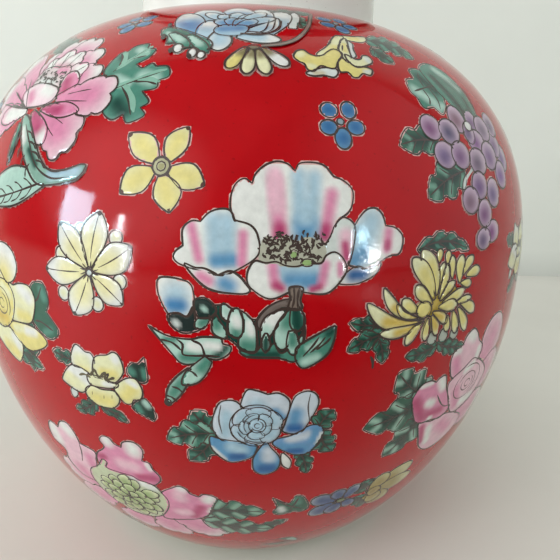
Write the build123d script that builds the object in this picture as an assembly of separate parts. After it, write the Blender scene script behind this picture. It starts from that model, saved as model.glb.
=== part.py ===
from build123d import *

import math
import os

# A porcelain ginger jar: a full-shouldered round jar with a plain collar neck, a small foot ring
# and a loose cap lid. The jar is built up the way a potter makes one. The lower bowl and the
# upper shoulder are turned separately and luted at the belly, the collar is luted round the
# mouth, and the ring is luted under the base. A thin red enamel coat covers the jar from the
# foot to the collar, and the lid from its edge to its crown.
#
# Millimetres, +Z up. The origin is the centre of the foot ring's resting face.

# Driving dimensions
BELLY_RADIUS = 100.0  # the widest level, outside the enamel
BELLY_LEVEL = 100.0  # height of that level above the table
SHOULDER_RISE = 88.0  # the shoulder's superellipse: its height above the belly, and its power
SHOULDER_POWER = 2.5
BELLY_DROP = 122.0  # the bowl's superellipse: its depth below the belly, and its power
BELLY_POWER = 1.9
COAT = 0.35  # the red enamel's thickness
WALL = 4.3  # jar wall, enamel included
BASE_THICKNESS = 5.5

FOOT_HEIGHT = 6.0
FOOT_OUTER = 54.0
FOOT_INNER = 45.5
FOOT_BEVEL = 1.0
HEEL_ROUND = 2.0  # the bowl's outer edge above the foot ring
HEEL_BARE = 3.2  # white clay left between the foot ring and the red coat
FLOOR_ROUND = 8.0

NECK_RADIUS = 41.5  # at the collar's root; it tapers to its rim
NECK_TAPER = 2.0
NECK_HEIGHT = 30.0
MOUTH_RADIUS = 36.0
RIM_ROUND = 1.5
COLLAR_MARGIN = 1.8  # bare white ring between the collar and the red coat

LID_RADIUS = 47.0
LID_BORE = 43.0  # the skirt's inner radius, loose over the collar
LID_GAP = 14.5  # collar left showing between the shoulder and the skirt's edge
LID_STRAIGHT = 12.0  # height of the skirt's upright side
LID_DOME = 19.0
LID_POWER = 2.4
LID_WALL = 4.2
LID_SEAT_INNER = 33.0  # inner edge of the flat ring that rests on the collar's rim
LID_EDGE_BARE = 1.6  # bare clay edge below the lid's coat
SEAT_CLEARANCE = 0.02
LID_EDGE_ROUND = 1.4

CURVE_SPANS = 12  # spans in each turned curve
CROWN = 90.0  # the polar angle at which a turned surface meets the jar's axis
BISECTIONS = 60
LEVEL_TOLERANCE = 0.01


def superellipse(angle, radius, height, power, inset):
    """A point (r, z) on a superellipse at a polar angle in degrees from its widest level, moved
    inwards along the surface normal by inset, and the direction in which the curve runs there."""
    across, up = abs(math.cos(math.radians(angle))), abs(math.sin(math.radians(angle)))
    reach = ((across / radius) ** power + (up / height) ** power) ** (-1 / power)
    r, z = reach * across, reach * up
    normal_r = r ** (power - 1) / radius**power
    normal_z = z ** (power - 1) / height**power
    size = math.hypot(normal_r, normal_z)
    normal_r, normal_z = normal_r / size, normal_z / size
    return (r - inset * normal_r, z - inset * normal_z), (-normal_z, normal_r)


def shoulder_point(angle, inset):
    (r, z), run = superellipse(angle, BELLY_RADIUS, SHOULDER_RISE, SHOULDER_POWER, inset)
    return (r, BELLY_LEVEL + z), run


def bowl_point(angle, inset):
    (r, z), run = superellipse(angle, BELLY_RADIUS, BELLY_DROP, BELLY_POWER, inset)
    return (r, BELLY_LEVEL - z), (run[0], -run[1])


def dome_point(angle, inset):
    (r, z), run = superellipse(angle, LID_RADIUS, LID_DOME, LID_POWER, inset)
    return (r, DOME_LEVEL + z), run


def angle_where(point, inset, inside):
    """The largest angle, from 0 to 90 degrees, at which inside((r, z)) still holds."""
    low, high = 0.0, CROWN
    for _ in range(BISECTIONS):
        middle = (low + high) / 2
        if inside(point(middle, inset)[0]):
            low = middle
        else:
            high = middle
    return low


def curve(point, first, last, inset):
    """A smooth edge through evenly spaced points of a turned surface, with its true end slopes."""
    angles = [first + (last - first) * i / CURVE_SPANS for i in range(CURVE_SPANS + 1)]
    places = [(r, 0, z) for (r, z), _ in (point(a, inset) for a in angles)]
    sense = 1 if last > first else -1
    ends = [point(a, inset)[1] for a in (first, last)]
    tangents = [(sense * r, 0, sense * z) for r, z in ends]
    return Spline(*places, tangents=tangents)


def line(start, end):
    """A straight edge between two (r, z) points."""
    return Line((start[0], 0, start[1]), (end[0], 0, end[1]))


def path(*corners):
    """Straight edges from each (r, z) corner to the next."""
    return [line(a, b) for a, b in zip(corners, corners[1:])]


def turned(edges):
    """The solid that a closed outline of edges sweeps round the jar's axis."""
    return revolve(make_face(edges), Axis.Z)


# Levels and angles that follow from the dimensions
ROOT_ANGLE = angle_where(shoulder_point, 0.0, lambda p: p[0] >= NECK_RADIUS)
NECK_LEVEL = shoulder_point(ROOT_ANGLE, 0.0)[0][1]
RIM_LEVEL = NECK_LEVEL + NECK_HEIGHT
LID_LEVEL = NECK_LEVEL + LID_GAP
DOME_LEVEL = LID_LEVEL + LID_STRAIGHT


def upper_body():
    """The shoulder, from the luted seam at the belly to the flat seat that holds the collar."""
    outer_end = angle_where(shoulder_point, COAT, lambda p: p[0] >= NECK_RADIUS)
    inner_end = angle_where(shoulder_point, WALL, lambda p: p[0] >= MOUTH_RADIUS)
    seat = path(
        shoulder_point(outer_end, COAT)[0],
        (NECK_RADIUS, NECK_LEVEL),
        (MOUTH_RADIUS, NECK_LEVEL),
        shoulder_point(inner_end, WALL)[0],
    )
    outside = curve(shoulder_point, 0, outer_end, COAT)
    inside = curve(shoulder_point, inner_end, 0, WALL)
    seam = line(shoulder_point(0, WALL)[0], shoulder_point(0, COAT)[0])
    return turned([outside, *seat, inside, seam])


def lower_body():
    """The bowl, from its flat base to the luted seam at the belly."""
    floor = FOOT_HEIGHT + BASE_THICKNESS
    outer_end = angle_where(bowl_point, COAT, lambda p: p[1] >= FOOT_HEIGHT)
    inner_end = angle_where(bowl_point, WALL, lambda p: p[1] >= floor)
    base = path(
        bowl_point(outer_end, COAT)[0],
        (0, FOOT_HEIGHT),
        (0, floor),
        bowl_point(inner_end, WALL)[0],
    )
    outside = curve(bowl_point, 0, outer_end, COAT)
    inside = curve(bowl_point, inner_end, 0, WALL)
    seam = line(bowl_point(0, WALL)[0], bowl_point(0, COAT)[0])
    bowl = turned([outside, *base, inside, seam])
    heel = bowl.edges().group_by(Axis.Z)[0]
    bowl = fillet(heel, HEEL_ROUND)
    corner = bowl.edges().filter_by_position(Axis.Z, floor - LEVEL_TOLERANCE, floor + LEVEL_TOLERANCE)
    return fillet(corner, FLOOR_ROUND)


def neck_collar():
    """The upright collar, tapered a little to its rounded rim."""
    rim = NECK_RADIUS - NECK_TAPER
    collar = turned(
        path(
            (MOUTH_RADIUS, NECK_LEVEL),
            (NECK_RADIUS, NECK_LEVEL),
            (rim, RIM_LEVEL),
            (MOUTH_RADIUS, RIM_LEVEL),
            (MOUTH_RADIUS, NECK_LEVEL),
        )
    )
    return fillet(collar.edges().group_by(Axis.Z)[-1], RIM_ROUND)


def foot_ring():
    """The ring the jar stands on, with bevelled lower edges."""
    ring = turned(
        path(
            (FOOT_INNER, 0),
            (FOOT_OUTER - FOOT_BEVEL, 0),
            (FOOT_OUTER, FOOT_HEIGHT),
            (FOOT_INNER, FOOT_HEIGHT),
            (FOOT_INNER, 0),
        )
    )
    return chamfer(ring.edges().group_by(Axis.Z)[0], FOOT_BEVEL)


def turned_blank(inset, bottom, top):
    """A solid of the jar's turned form, moved inwards by inset, with flat ends at two angles."""
    low, high = bowl_point(bottom, inset)[0], shoulder_point(top, inset)[0]
    ends = path(high, (0, high[1]), (0, low[1]), low)
    return turned(
        [curve(bowl_point, bottom, 0, inset), curve(shoulder_point, 0, top, inset), *ends]
    )


def red_ground():
    """The jar's enamel coat in one piece, cut upright beside the collar and level at the foot."""
    clay_bottom = angle_where(bowl_point, COAT, lambda p: p[1] >= FOOT_HEIGHT)
    clay_top = angle_where(shoulder_point, COAT, lambda p: p[0] >= NECK_RADIUS)
    coat_bottom = angle_where(bowl_point, 0.0, lambda p: p[1] >= FOOT_HEIGHT + HEEL_BARE)
    coat = turned_blank(0.0, coat_bottom, ROOT_ANGLE) - turned_blank(COAT, clay_bottom, clay_top)
    bare_ring = Cylinder(NECK_RADIUS + COLLAR_MARGIN, 2 * NECK_LEVEL)
    return coat - bare_ring


def lid_shell():
    """The lid's clay: an upright skirt, a flat seat inside it, and a low dome."""
    seat = RIM_LEVEL + SEAT_CLEARANCE
    hollow_end = angle_where(dome_point, LID_WALL, lambda p: p[0] >= LID_SEAT_INNER)
    apex = line(dome_point(CROWN, LID_WALL)[0], dome_point(CROWN, COAT)[0])
    outside = curve(dome_point, CROWN, 0, COAT)
    side = path(
        (LID_RADIUS - COAT, DOME_LEVEL),
        (LID_RADIUS - COAT, LID_LEVEL),
        (LID_BORE, LID_LEVEL),
        (LID_BORE, seat),
        (LID_SEAT_INNER, seat),
        dome_point(hollow_end, LID_WALL)[0],
    )
    inside = curve(dome_point, hollow_end, CROWN, LID_WALL)
    shell = turned([apex, outside, *side, inside])
    return fillet(shell.edges().group_by(Axis.Z)[0], LID_EDGE_ROUND)


def lid_red_ground():
    """The lid's enamel coat in one piece, from its bare lower edge to its crown."""
    outside = curve(dome_point, 0, CROWN, 0.0)
    apex = line(dome_point(CROWN, 0.0)[0], dome_point(CROWN, COAT)[0])
    inside = curve(dome_point, CROWN, 0, COAT)
    start = LID_LEVEL + LID_EDGE_BARE
    side = path(
        (LID_RADIUS - COAT, DOME_LEVEL),
        (LID_RADIUS - COAT, start),
        (LID_RADIUS, start),
        (LID_RADIUS, DOME_LEVEL),
    )
    return turned([outside, apex, inside, *side])


PARTS = {
    "lower_body": lower_body,
    "upper_body": upper_body,
    "neck_collar": neck_collar,
    "foot_ring": foot_ring,
    "red_ground": red_ground,
    "lid_shell": lid_shell,
    "lid_red_ground": lid_red_ground,
}

os.makedirs("parts", exist_ok=True)
for name, make in PARTS.items():
    export_step(make(), f"parts/{name}.step")
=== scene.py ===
import math
import random

import bmesh
import bpy
import numpy as np
from mathutils import Matrix, Vector, geometry


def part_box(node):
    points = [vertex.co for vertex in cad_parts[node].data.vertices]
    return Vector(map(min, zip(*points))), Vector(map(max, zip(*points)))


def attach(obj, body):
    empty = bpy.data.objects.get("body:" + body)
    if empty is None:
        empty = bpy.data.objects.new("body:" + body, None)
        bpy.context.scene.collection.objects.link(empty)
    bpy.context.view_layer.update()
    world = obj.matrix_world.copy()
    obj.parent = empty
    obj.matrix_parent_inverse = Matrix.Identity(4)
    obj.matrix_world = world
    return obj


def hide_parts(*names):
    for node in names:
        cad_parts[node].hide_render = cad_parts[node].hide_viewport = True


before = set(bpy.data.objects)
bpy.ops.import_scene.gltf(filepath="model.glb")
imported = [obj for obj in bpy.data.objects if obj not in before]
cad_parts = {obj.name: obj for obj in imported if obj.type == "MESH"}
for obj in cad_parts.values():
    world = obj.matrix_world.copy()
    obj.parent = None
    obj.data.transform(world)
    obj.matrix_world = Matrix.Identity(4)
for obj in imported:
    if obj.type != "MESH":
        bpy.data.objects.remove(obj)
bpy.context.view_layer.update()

# The painted looks of a porcelain ginger jar. Everything turned is a lathe mesh on the CAD
# profile. Every flower and leaf is drawn in its own flat frame, in millimetres, x round the jar
# and y up its wall, then laid on the turned surface as thin raised enamel pads and brush lines.

MM = 0.001

# ---------------------------------------------------------------------------------------------
# The turned surfaces, worked out from the frame
# ---------------------------------------------------------------------------------------------
SHOULDER_POWER = 2.5
BOWL_POWER = 1.9
BOWL_DROP = 1.22  # depth of the bowl's superellipse, in belly radii
LID_POWER = 2.4
LID_STRAIGHT = 12.0  # upright part of the lid's side
PROFILE_SAMPLES = 2400


def box_mm(node):
    low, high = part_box(node)
    return [v / MM for v in low], [v / MM for v in high]


GROUND_LOW, GROUND_HIGH = box_mm("red_ground")
LOWER_HIGH = box_mm("lower_body")[1]
NECK_LOW, NECK_HIGH = box_mm("neck_collar")
LID_LOW, LID_HIGH = box_mm("lid_red_ground")
SHELL_LOW = box_mm("lid_shell")[0]

BELLY_RADIUS = GROUND_HIGH[0]
BELLY_LEVEL = LOWER_HIGH[2]
NECK_RADIUS = NECK_HIGH[0]
NECK_LEVEL = NECK_LOW[2]
NECK_RATIO = (NECK_RADIUS / BELLY_RADIUS) ** SHOULDER_POWER
SHOULDER_RISE = (NECK_LEVEL - BELLY_LEVEL) / (1 - NECK_RATIO) ** (1 / SHOULDER_POWER)
LID_RADIUS = LID_HIGH[0]
DOME_LEVEL = SHELL_LOW[2] + LID_STRAIGHT
DOME_RISE = LID_HIGH[2] - DOME_LEVEL


def superellipse(radius, height, power):
    """Points (r, z) on a quarter superellipse from its widest level to the axis."""
    angle = np.linspace(0, math.pi / 2, PROFILE_SAMPLES)
    across, up = np.abs(np.cos(angle)), np.abs(np.sin(angle))
    reach = ((across / radius) ** power + (up / height) ** power) ** (-1 / power)
    return reach * across, reach * up


def arc_length(r, z):
    return np.concatenate([[0], np.cumsum(np.hypot(np.diff(r), np.diff(z)))])


class Surface:
    """A surface turned about the axis, addressed by angle and by arc length up its profile."""

    def __init__(self, r, z, zero):
        self.r, self.z = r, z
        self.level = arc_length(r, z) - zero
        slope_r, slope_z = np.gradient(r, self.level), np.gradient(z, self.level)
        size = np.hypot(slope_r, slope_z)
        self.out_r, self.out_z = slope_z / size, -slope_r / size

    def at(self, angle, level, lift):
        r, z = np.interp(level, self.level, self.r), np.interp(level, self.level, self.z)
        r = r + lift * np.interp(level, self.level, self.out_r)
        z = z + lift * np.interp(level, self.level, self.out_z)
        return np.stack([r * np.sin(angle), -r * np.cos(angle), z], -1)

    def radius(self, level):
        return np.interp(level, self.level, self.r)


def jar_surface():
    low_r, low_z = superellipse(BELLY_RADIUS, BOWL_DROP * BELLY_RADIUS, BOWL_POWER)
    high_r, high_z = superellipse(BELLY_RADIUS, SHOULDER_RISE, SHOULDER_POWER)
    r = np.concatenate([low_r[::-1], high_r[1:]])
    z = BELLY_LEVEL + np.concatenate([-low_z[::-1], high_z[1:]])
    return Surface(r, z, arc_length(low_r, low_z)[-1])


def lid_surface():
    dome_r, dome_z = superellipse(LID_RADIUS, DOME_RISE, LID_POWER)
    r = np.concatenate([[LID_RADIUS], dome_r])
    z = np.concatenate([[LID_LOW[2]], DOME_LEVEL + dome_z])
    return Surface(r, z, 0.0)


JAR, LID = jar_surface(), lid_surface()


# ---------------------------------------------------------------------------------------------
# Colours and materials
# ---------------------------------------------------------------------------------------------
def linear(r, g, b):
    """A colour given as 0 to 255 display values, as linear values."""
    return tuple(((v / 255 + 0.055) / 1.055) ** 2.4 if v > 10 else v / 255 / 12.92 for v in (r, g, b))


INK = linear(68, 55, 50)
WHITE = linear(224, 226, 220)
PALE = linear(206, 214, 208)
RESERVE = linear(216, 176, 170)
CREAM = linear(222, 222, 178)
YELLOW = linear(220, 208, 128)
GOLD = linear(206, 178, 82)
ROSE = linear(214, 134, 166)
PINK = linear(226, 182, 196)
DEEP_ROSE = linear(178, 62, 108)
SKY = linear(164, 194, 208)
BLUE = linear(92, 146, 184)
DEEP_BLUE = linear(38, 92, 148)
TEAL = linear(74, 132, 114)
DEEP_TEAL = linear(24, 66, 56)
MINT = linear(170, 204, 190)
MOSS = linear(150, 172, 112)
LEAF = linear(42, 92, 72)
DARK_LEAF = linear(20, 50, 42)


class Nodes:
    """A short way to build a material's node tree."""

    def __init__(self, name):
        self.material = bpy.data.materials.new(name)
        self.material.use_nodes = True
        self.tree = self.material.node_tree
        self.bsdf = self.tree.nodes["Principled BSDF"]

    def add(self, kind, **inputs):
        node = self.tree.nodes.new("ShaderNode" + kind)
        for key, value in inputs.items():
            self.give(node, key, value)
        return node

    def give(self, node, key, value):
        if hasattr(node, key):
            setattr(node, key, value)
            return
        self.plug(node.inputs[int(key[1:]) if key[1:].isdigit() else key.replace("_", " ")], value)

    def plug(self, socket, value):
        if isinstance(value, bpy.types.NodeSocket):
            self.tree.links.new(value, socket)
        else:
            socket.default_value = (*value, 1) if socket.type == "RGBA" and len(value) == 3 else value

    def noise(self, scale, detail=3.0, rough=0.5):
        coordinates = self.add("TexCoord").outputs["Object"]
        node = self.add("TexNoise", Vector=coordinates, Scale=scale, Detail=detail, Roughness=rough)
        return node.outputs["Fac"]

    def ramp(self, value, low, high, from_low=0.3, from_high=0.7):
        node = self.add("MapRange", i0=value, i1=from_low, i2=from_high, i3=low, i4=high)
        return node.outputs[0]

    def mix(self, factor, a, b, blend="MIX"):
        node = self.add("Mix", data_type="RGBA", blend_type=blend, i0=factor)
        self.plug(node.inputs[6], a)
        self.plug(node.inputs[7], b)
        return node.outputs[2]

    def bump(self, height, distance, strength=1.0):
        node = self.add("Bump", Height=height, Distance=distance, Strength=strength)
        self.give(self.bsdf, "Normal", node.outputs[0])

    def set(self, **inputs):
        for key, value in inputs.items():
            self.give(self.bsdf, key, value)
        return self.material


def red_glaze():
    n = Nodes("red_glaze")
    broad = n.ramp(n.noise(14, 3), 0, 1)
    brushed = n.ramp(n.noise(95, 5, 0.6), 0, 1)
    colour = n.mix(broad, linear(171, 4, 13), linear(183, 7, 17))
    colour = n.mix(n.ramp(brushed, 0.0, 0.35, 0, 1), colour, linear(153, 4, 11))
    speck = n.ramp(n.noise(900, 2), 0, 0.5, 0.68, 0.74)
    colour = n.mix(speck, colour, linear(120, 6, 10))
    n.bump(n.noise(70, 4, 0.55), 0.00012, 0.5)
    rough = n.ramp(n.noise(240, 3), 0.05, 0.1)
    return n.set(Base_Color=colour, Roughness=rough, IOR=1.5, Specular_IOR_Level=0.26)


def enamel():
    n = Nodes("painted_enamel")
    paint = n.add("VertexColor", layer_name="paint").outputs["Color"]
    wash = n.ramp(n.noise(420, 4, 0.6), 0.88, 1.06)
    shade = n.add("CombineColor", i0=wash, i1=wash, i2=wash).outputs[0]
    colour = n.mix(1.0, paint, shade, "MULTIPLY")
    n.bump(n.noise(520, 3, 0.6), 0.00008, 0.55)
    return n.set(Base_Color=colour, Roughness=n.ramp(n.noise(700, 2), 0.06, 0.15), IOR=1.5)


def pale_glaze():
    n = Nodes("pale_collar_glaze")
    colour = n.mix(n.ramp(n.noise(22, 4), 0, 1), linear(226, 232, 224), linear(236, 238, 232))
    speck = n.ramp(n.noise(1300, 2), 0, 0.7, 0.72, 0.76)
    colour = n.mix(speck, colour, linear(120, 112, 96))
    n.bump(n.noise(60, 3), 0.0001, 0.4)
    return n.set(Base_Color=colour, Roughness=n.ramp(n.noise(300, 2), 0.08, 0.18))


def bare_clay():
    n = Nodes("bare_clay")
    colour = n.mix(n.ramp(n.noise(60, 5, 0.6), 0, 1), linear(206, 196, 176), linear(224, 216, 200))
    colour = n.mix(n.ramp(n.noise(420, 4, 0.7), 0, 0.6, 0.55, 0.7), colour, linear(150, 132, 108))
    n.bump(n.noise(1500, 4, 0.7), 0.0001, 0.8)
    return n.set(Base_Color=colour, Roughness=n.ramp(n.noise(260, 3), 0.65, 0.9))


RED_GLAZE, ENAMEL, PALE_GLAZE, BARE_CLAY = red_glaze(), enamel(), pale_glaze(), bare_clay()


# ---------------------------------------------------------------------------------------------
# Drawing in a flat frame
# ---------------------------------------------------------------------------------------------
STEP = 0.013  # each pad lies this much above the one before it
SINK = 0.03  # pad and line edges run down below the surface by this much
LINE = 0.38  # usual width of a brush outline
SPACING = 0.55  # distance between points along an outline
GRID = 0.6  # distance between points inside a pad
SHOULDER = 0.3  # a pad reaches its full thickness this far inside its outline
WASH_REACH = 1.6  # a wash fades to nothing this many radii from its middle line
HALO = 0.72  # white left showing round a pad
LINE_LIFT, RIDGE = 0.3 * STEP, 0.5 * STEP  # a line's edges above the last pad, its middle above them
WAVER, WAVES, WAVE_POINTS = 0.22, 9, 40  # how much and how often a line's width wavers along it
BLUNT_END, THICKENING = 0.35, 5  # width at a line's ends, and how fast it grows, in parts of itself
LOBE_DEPTH = 0.16  # how far the cuts between a petal's lobes reach towards its middle
LOBES_FROM, LOBES_TO = 0.2, 0.8  # the stretch of a petal's outline that has lobes
TOOTH_DEPTH = 0.34  # how far the cuts between a leaf's teeth reach towards its midrib
STALK = 0.15  # half the width that a leaf keeps at its two ends
OVAL_POINTS = 8
TURN = 6.28  # radians, the range of the random angles
TINY = 1e-9  # keeps a division from dividing by nothing


def catmull(points, closed):
    """Points of a smooth curve through the given ones."""
    points = [np.array(p[:2], float) for p in points]
    count = len(points)
    out = []
    for i in range(count if closed else count - 1):
        b, c = points[i], points[(i + 1) % count]
        a = points[i - 1] if closed or i else 2 * b - c
        d = points[(i + 2) % count] if closed or i + 2 < count else 2 * c - b
        pieces = max(1, round(float(np.linalg.norm(c - b)) / SPACING))
        for k in range(pieces):
            t = k / pieces
            out.append(0.5 * (2 * b + (c - a) * t + (2 * a - 5 * b + 4 * c - d) * t**2
                              + (3 * b - a - 3 * c + d) * t**3))
    if not closed:
        out.append(points[-1])
    return out


def smooth(points, closed=True):
    """A smooth curve, kept sharp at each point that has a third value."""
    sharp = [i for i, p in enumerate(points) if len(p) > 2]
    if not closed or not sharp:
        return np.array(catmull(points, closed))
    points = points[sharp[0]:] + points[:sharp[0]]
    sharp = [i - sharp[0] for i in sharp] + [len(points)]
    points = points + points[:1]
    out = []
    for a, b in zip(sharp, sharp[1:]):
        out += catmull(points[a:b + 1], False)[:-1]
    return np.array(out)


def distance_to_loop(places, loop):
    a, b = loop, np.roll(loop, -1, 0)
    along = b - a
    t = ((places[:, None] - a) * along).sum(-1) / np.maximum((along**2).sum(-1), TINY)
    near = a + np.clip(t, 0, 1)[..., None] * along
    return np.linalg.norm(places[:, None] - near, axis=-1).min(1)


def inside_loop(places, loop):
    x, y = places[:, 0, None], places[:, 1, None]
    x0, y0 = loop[:, 0], loop[:, 1]
    x1, y1 = np.roll(x0, -1), np.roll(y0, -1)
    crosses = (y0 > y) != (y1 > y)
    meet = x0 + (y - y0) * (x1 - x0) / np.where(y1 == y0, TINY, y1 - y0)
    return (crosses & (x < meet)).sum(1) % 2 == 1


def unit_normals(run):
    """One unit vector square to each direction in run, on its right-hand side."""
    return np.stack([run[:, 1], -run[:, 0]], 1) / np.maximum(np.linalg.norm(run, axis=1), TINY)[:, None]


def offset_loop(loop, distance):
    """The loop moved outwards along its own normals."""
    normal = unit_normals(np.roll(loop, -1, 0) - np.roll(loop, 1, 0))
    x, y = loop.T
    area = (x * np.roll(y, -1) - np.roll(x, -1) * y).sum()
    return loop + math.copysign(distance, area) * normal


def segment_distance(places, start, end):
    start, along = np.array(start, float), np.subtract(end, start).astype(float)
    t = ((places - start) @ along) / max(float(along @ along), TINY)
    return np.linalg.norm(places - start - np.clip(t, 0, 1)[:, None] * along, axis=1)


def midline(base, tip, bend):
    """A function that places points along and beside a bowed line from base to tip, and its length.

    The function takes the share of the way along and the distance to the side. The bow's height
    is the share bend of the length."""
    base = np.array(base, float)
    along = np.array(tip, float) - base
    length = float(np.linalg.norm(along))
    side = np.array([-along[1], along[0]])

    def place(t, across=0.0):
        return base + along * t + side * (bend * 4 * t * (1 - t) + across / length)

    return place, length


class Motif:
    """One painted group: a flat drawing that becomes a single mesh laid on a turned surface."""

    def __init__(self, name, angle, level, slot, turn=0, size=1, flip=1, surface=JAR, crown=False,
                 swap=None):
        self.name, self.slot, self.surface, self.crown = name, slot, surface, crown
        self.angle, self.level, self.swap = math.radians(angle), level, swap or {}
        turn = math.radians(turn)
        self.axes = size * np.array([[math.cos(turn), math.sin(turn)], [-math.sin(turn), math.cos(turn)]])
        self.flip = np.array([flip, 1.0])
        self.lift = STEP
        self.places, self.faces, self.colours = [], [], []
        self.random = random.Random(name)

    def lay(self, flat, lift):
        """Points on the turned surface for flat points, x round the jar and y up its wall."""
        flat = (flat * self.flip) @ self.axes
        if self.crown:
            return self.lay_on_crown(flat, lift)
        level = self.level + flat[:, 1]
        return self.surface.at(self.angle + flat[:, 0] / self.surface.radius(level), level, lift)

    def lay_on_crown(self, flat, lift):
        """The same for a motif near the axis, whose level is its distance from the crown."""
        sin, cos = math.sin(self.angle), math.cos(self.angle)
        x = flat[:, 0] * cos + (self.level - flat[:, 1]) * sin
        y = flat[:, 0] * sin - (self.level - flat[:, 1]) * cos
        level = self.surface.level[-1] - np.hypot(x, y)
        return self.surface.at(np.arctan2(x, -y), level, lift)

    def keep(self, flat, lift, faces, colours):
        start = sum(len(p) for p in self.places)
        self.places.append(self.lay(flat, lift))
        self.colours.append(np.broadcast_to(colours, (len(flat), 3)))
        self.faces += [[start + i for i in face] for face in faces]

    def pad(self, loop, colour, washes=(), lift=None):
        """A filled shape of raised enamel, shaded by washes (colour, start, end, radius)."""
        lift = self.lift if lift is None else lift
        low, high = loop.min(0), loop.max(0)
        step = min(GRID, max(0.3, (high - low).min() / 5))
        x, y = np.meshgrid(np.arange(low[0], high[0], step), np.arange(low[1], high[1], step))
        grid = np.stack([x.ravel(), y.ravel()], 1)
        grid = grid[inside_loop(grid, loop)]
        if len(grid):
            grid = grid[distance_to_loop(grid, loop) > min(SHOULDER, 0.45 * step)]
        flat = np.concatenate([loop, grid])
        count = len(loop)
        edges = [(i, (i + 1) % count) for i in range(count)]
        found = geometry.delaunay_2d_cdt([Vector(p) for p in flat.tolist()], edges, [], 1, 1e-4)
        flat = np.array([tuple(p) for p in found[0]])
        depth = np.clip(distance_to_loop(flat, loop) / SHOULDER, 0, 1)
        heights = -SINK + (lift + SINK) * np.sqrt(depth)
        colours = np.tile(np.array(self.swap.get(colour, colour)), (len(flat), 1))
        for shade, start, end, radius in washes:
            shade = self.swap.get(shade, shade)
            reach = segment_distance(flat, start, end) / (WASH_REACH * radius)
            weight = (np.clip(1 - reach**2, 0, 1) ** 1.5)[:, None]
            colours = colours * (1 - weight) + np.array(shade) * weight
        self.keep(flat, heights, found[2], colours)

    def stroke(self, points, width=LINE, colour=INK, closed=False, curve=True):
        """A brush line through points, drawn on top of everything so far."""
        path = smooth(points, closed) if curve else np.array(points, float)
        count = len(path)
        if closed:
            run = np.roll(path, -1, 0) - np.roll(path, 1, 0)
        else:
            run = np.gradient(path, axis=0)
        t = np.linspace(0, 1, count)
        phase = self.random.random() * TURN
        half = 0.5 * width * (1 + WAVER * np.sin(phase + WAVES * t * max(1, count / WAVE_POINTS)))
        if not closed:
            half = half * np.clip(np.minimum(t, 1 - t) * THICKENING + BLUNT_END, 0, 1)
        across = unit_normals(run) * half[:, None]
        left, right = path - across, path + across
        flat = np.concatenate([left, path, right])
        heights = np.full(len(flat), self.lift + LINE_LIFT)
        heights[count:2 * count] += RIDGE
        faces = []
        for i in range(count if closed else count - 1):
            j = (i + 1) % count
            for row in (0, count):
                faces.append([row + i, row + count + i, row + count + j, row + j])
        self.keep(flat, heights, faces, colour)

    def strokes(self, width, *lines, colour=INK):
        """Brush lines of one width and colour, each through its own points."""
        for points in lines:
            self.stroke(points, width, colour)

    def shape(self, points, colour, *washes, line=LINE, curve=True):
        """A pad with its white halo below it and its brush outline on its edge."""
        loop = smooth(points) if curve else np.array(points)
        self.pad(offset_loop(loop, HALO), RESERVE, lift=0.5 * STEP)
        self.lift += STEP
        self.pad(loop, colour, washes)
        if line:
            self.stroke(loop, line, closed=True, curve=False)

    def petal(self, base, tip, width, colour, core=None, reach=0.5, bend=0.0, point=1.0, foot=0.25,
              widest=0.6, line=LINE, veins=(), lobes=0, tint=None):
        """A petal from base to tip. point 0 gives a round end and 1 or more a sharp one."""
        place, length = midline(base, tip, bend)

        def half(t):
            if t < widest:
                return width / 2 * (foot + (1 - foot) * math.sin(math.pi / 2 * t / widest))
            end = (t - widest) / (1 - widest)
            round_end = math.sqrt(max(0.0, 1 - end * end))
            sharp_end = 1 - end ** 1.6
            return width / 2 * (round_end * (1 - point) + sharp_end * point)

        count = max(6, round(length / SPACING))
        rise = [0.5 - 0.5 * math.cos(math.pi * i / count) for i in range(count + 1)]
        outline = [place(t, half(t)) for t in rise] + [place(t, -half(t)) for t in rise[-2::-1]]
        if lobes:
            outline = self.scallop(outline, lobes)
        washes = []
        if tint is not None:
            washes.append((tint, place(0.75), tip, width * 0.4))
        if core is not None:
            washes.append((core, base, place(reach), width * 0.42))
        self.shape(outline, colour, *washes, line=line, curve=False)
        for across, start, end in veins:
            steps = [start + (end - start) * i / 6 for i in range(7)]
            self.stroke([place(t, across * half(t)) for t in steps], 0.75 * LINE)

    def scallop(self, outline, lobes):
        """The outline with rounded lobes cut into its middle stretch, round the tip."""
        outline = np.array(outline)
        first, last = int(len(outline) * LOBES_FROM), int(len(outline) * LOBES_TO)
        centre = outline.mean(0)
        for i in range(first, last + 1):
            cut = 1 - abs(math.sin(math.pi * lobes * (i - first) / (last - first)))
            outline[i] += (centre - outline[i]) * LOBE_DEPTH * cut**2
        return outline

    def blob(self, x, y, width, height, colour, core=None, spot=(0, 0), spread=0.55, line=LINE):
        """An oval pad, with an optional darker core."""
        points = [(x + width / 2 * math.cos(a), y + height / 2 * math.sin(a))
                  for a in (2 * math.pi * i / OVAL_POINTS for i in range(OVAL_POINTS))]
        washes = []
        if core is not None:
            middle = (x + spot[0], y + spot[1])
            washes.append((core, middle, middle, spread * min(width, height)))
        self.shape(points, colour, *washes, line=line)

    def leaf(self, base, tip, width, bend=0.0, lobes=4, dark=LEAF, pale=TEAL, veins=3):
        """A leaf with a toothed edge, a midrib and side veins."""
        place, length = midline(base, tip, bend)

        def full(t):
            return width / 2 * math.sin(math.pi * min(1, t) ** 0.8) ** 0.7

        def edge(t, sign):
            tooth = 1 - TOOTH_DEPTH * (0.5 + 0.5 * math.cos(2 * math.pi * lobes * t)) ** 2
            return place(t, sign * (full(t) * tooth + STALK))

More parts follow.
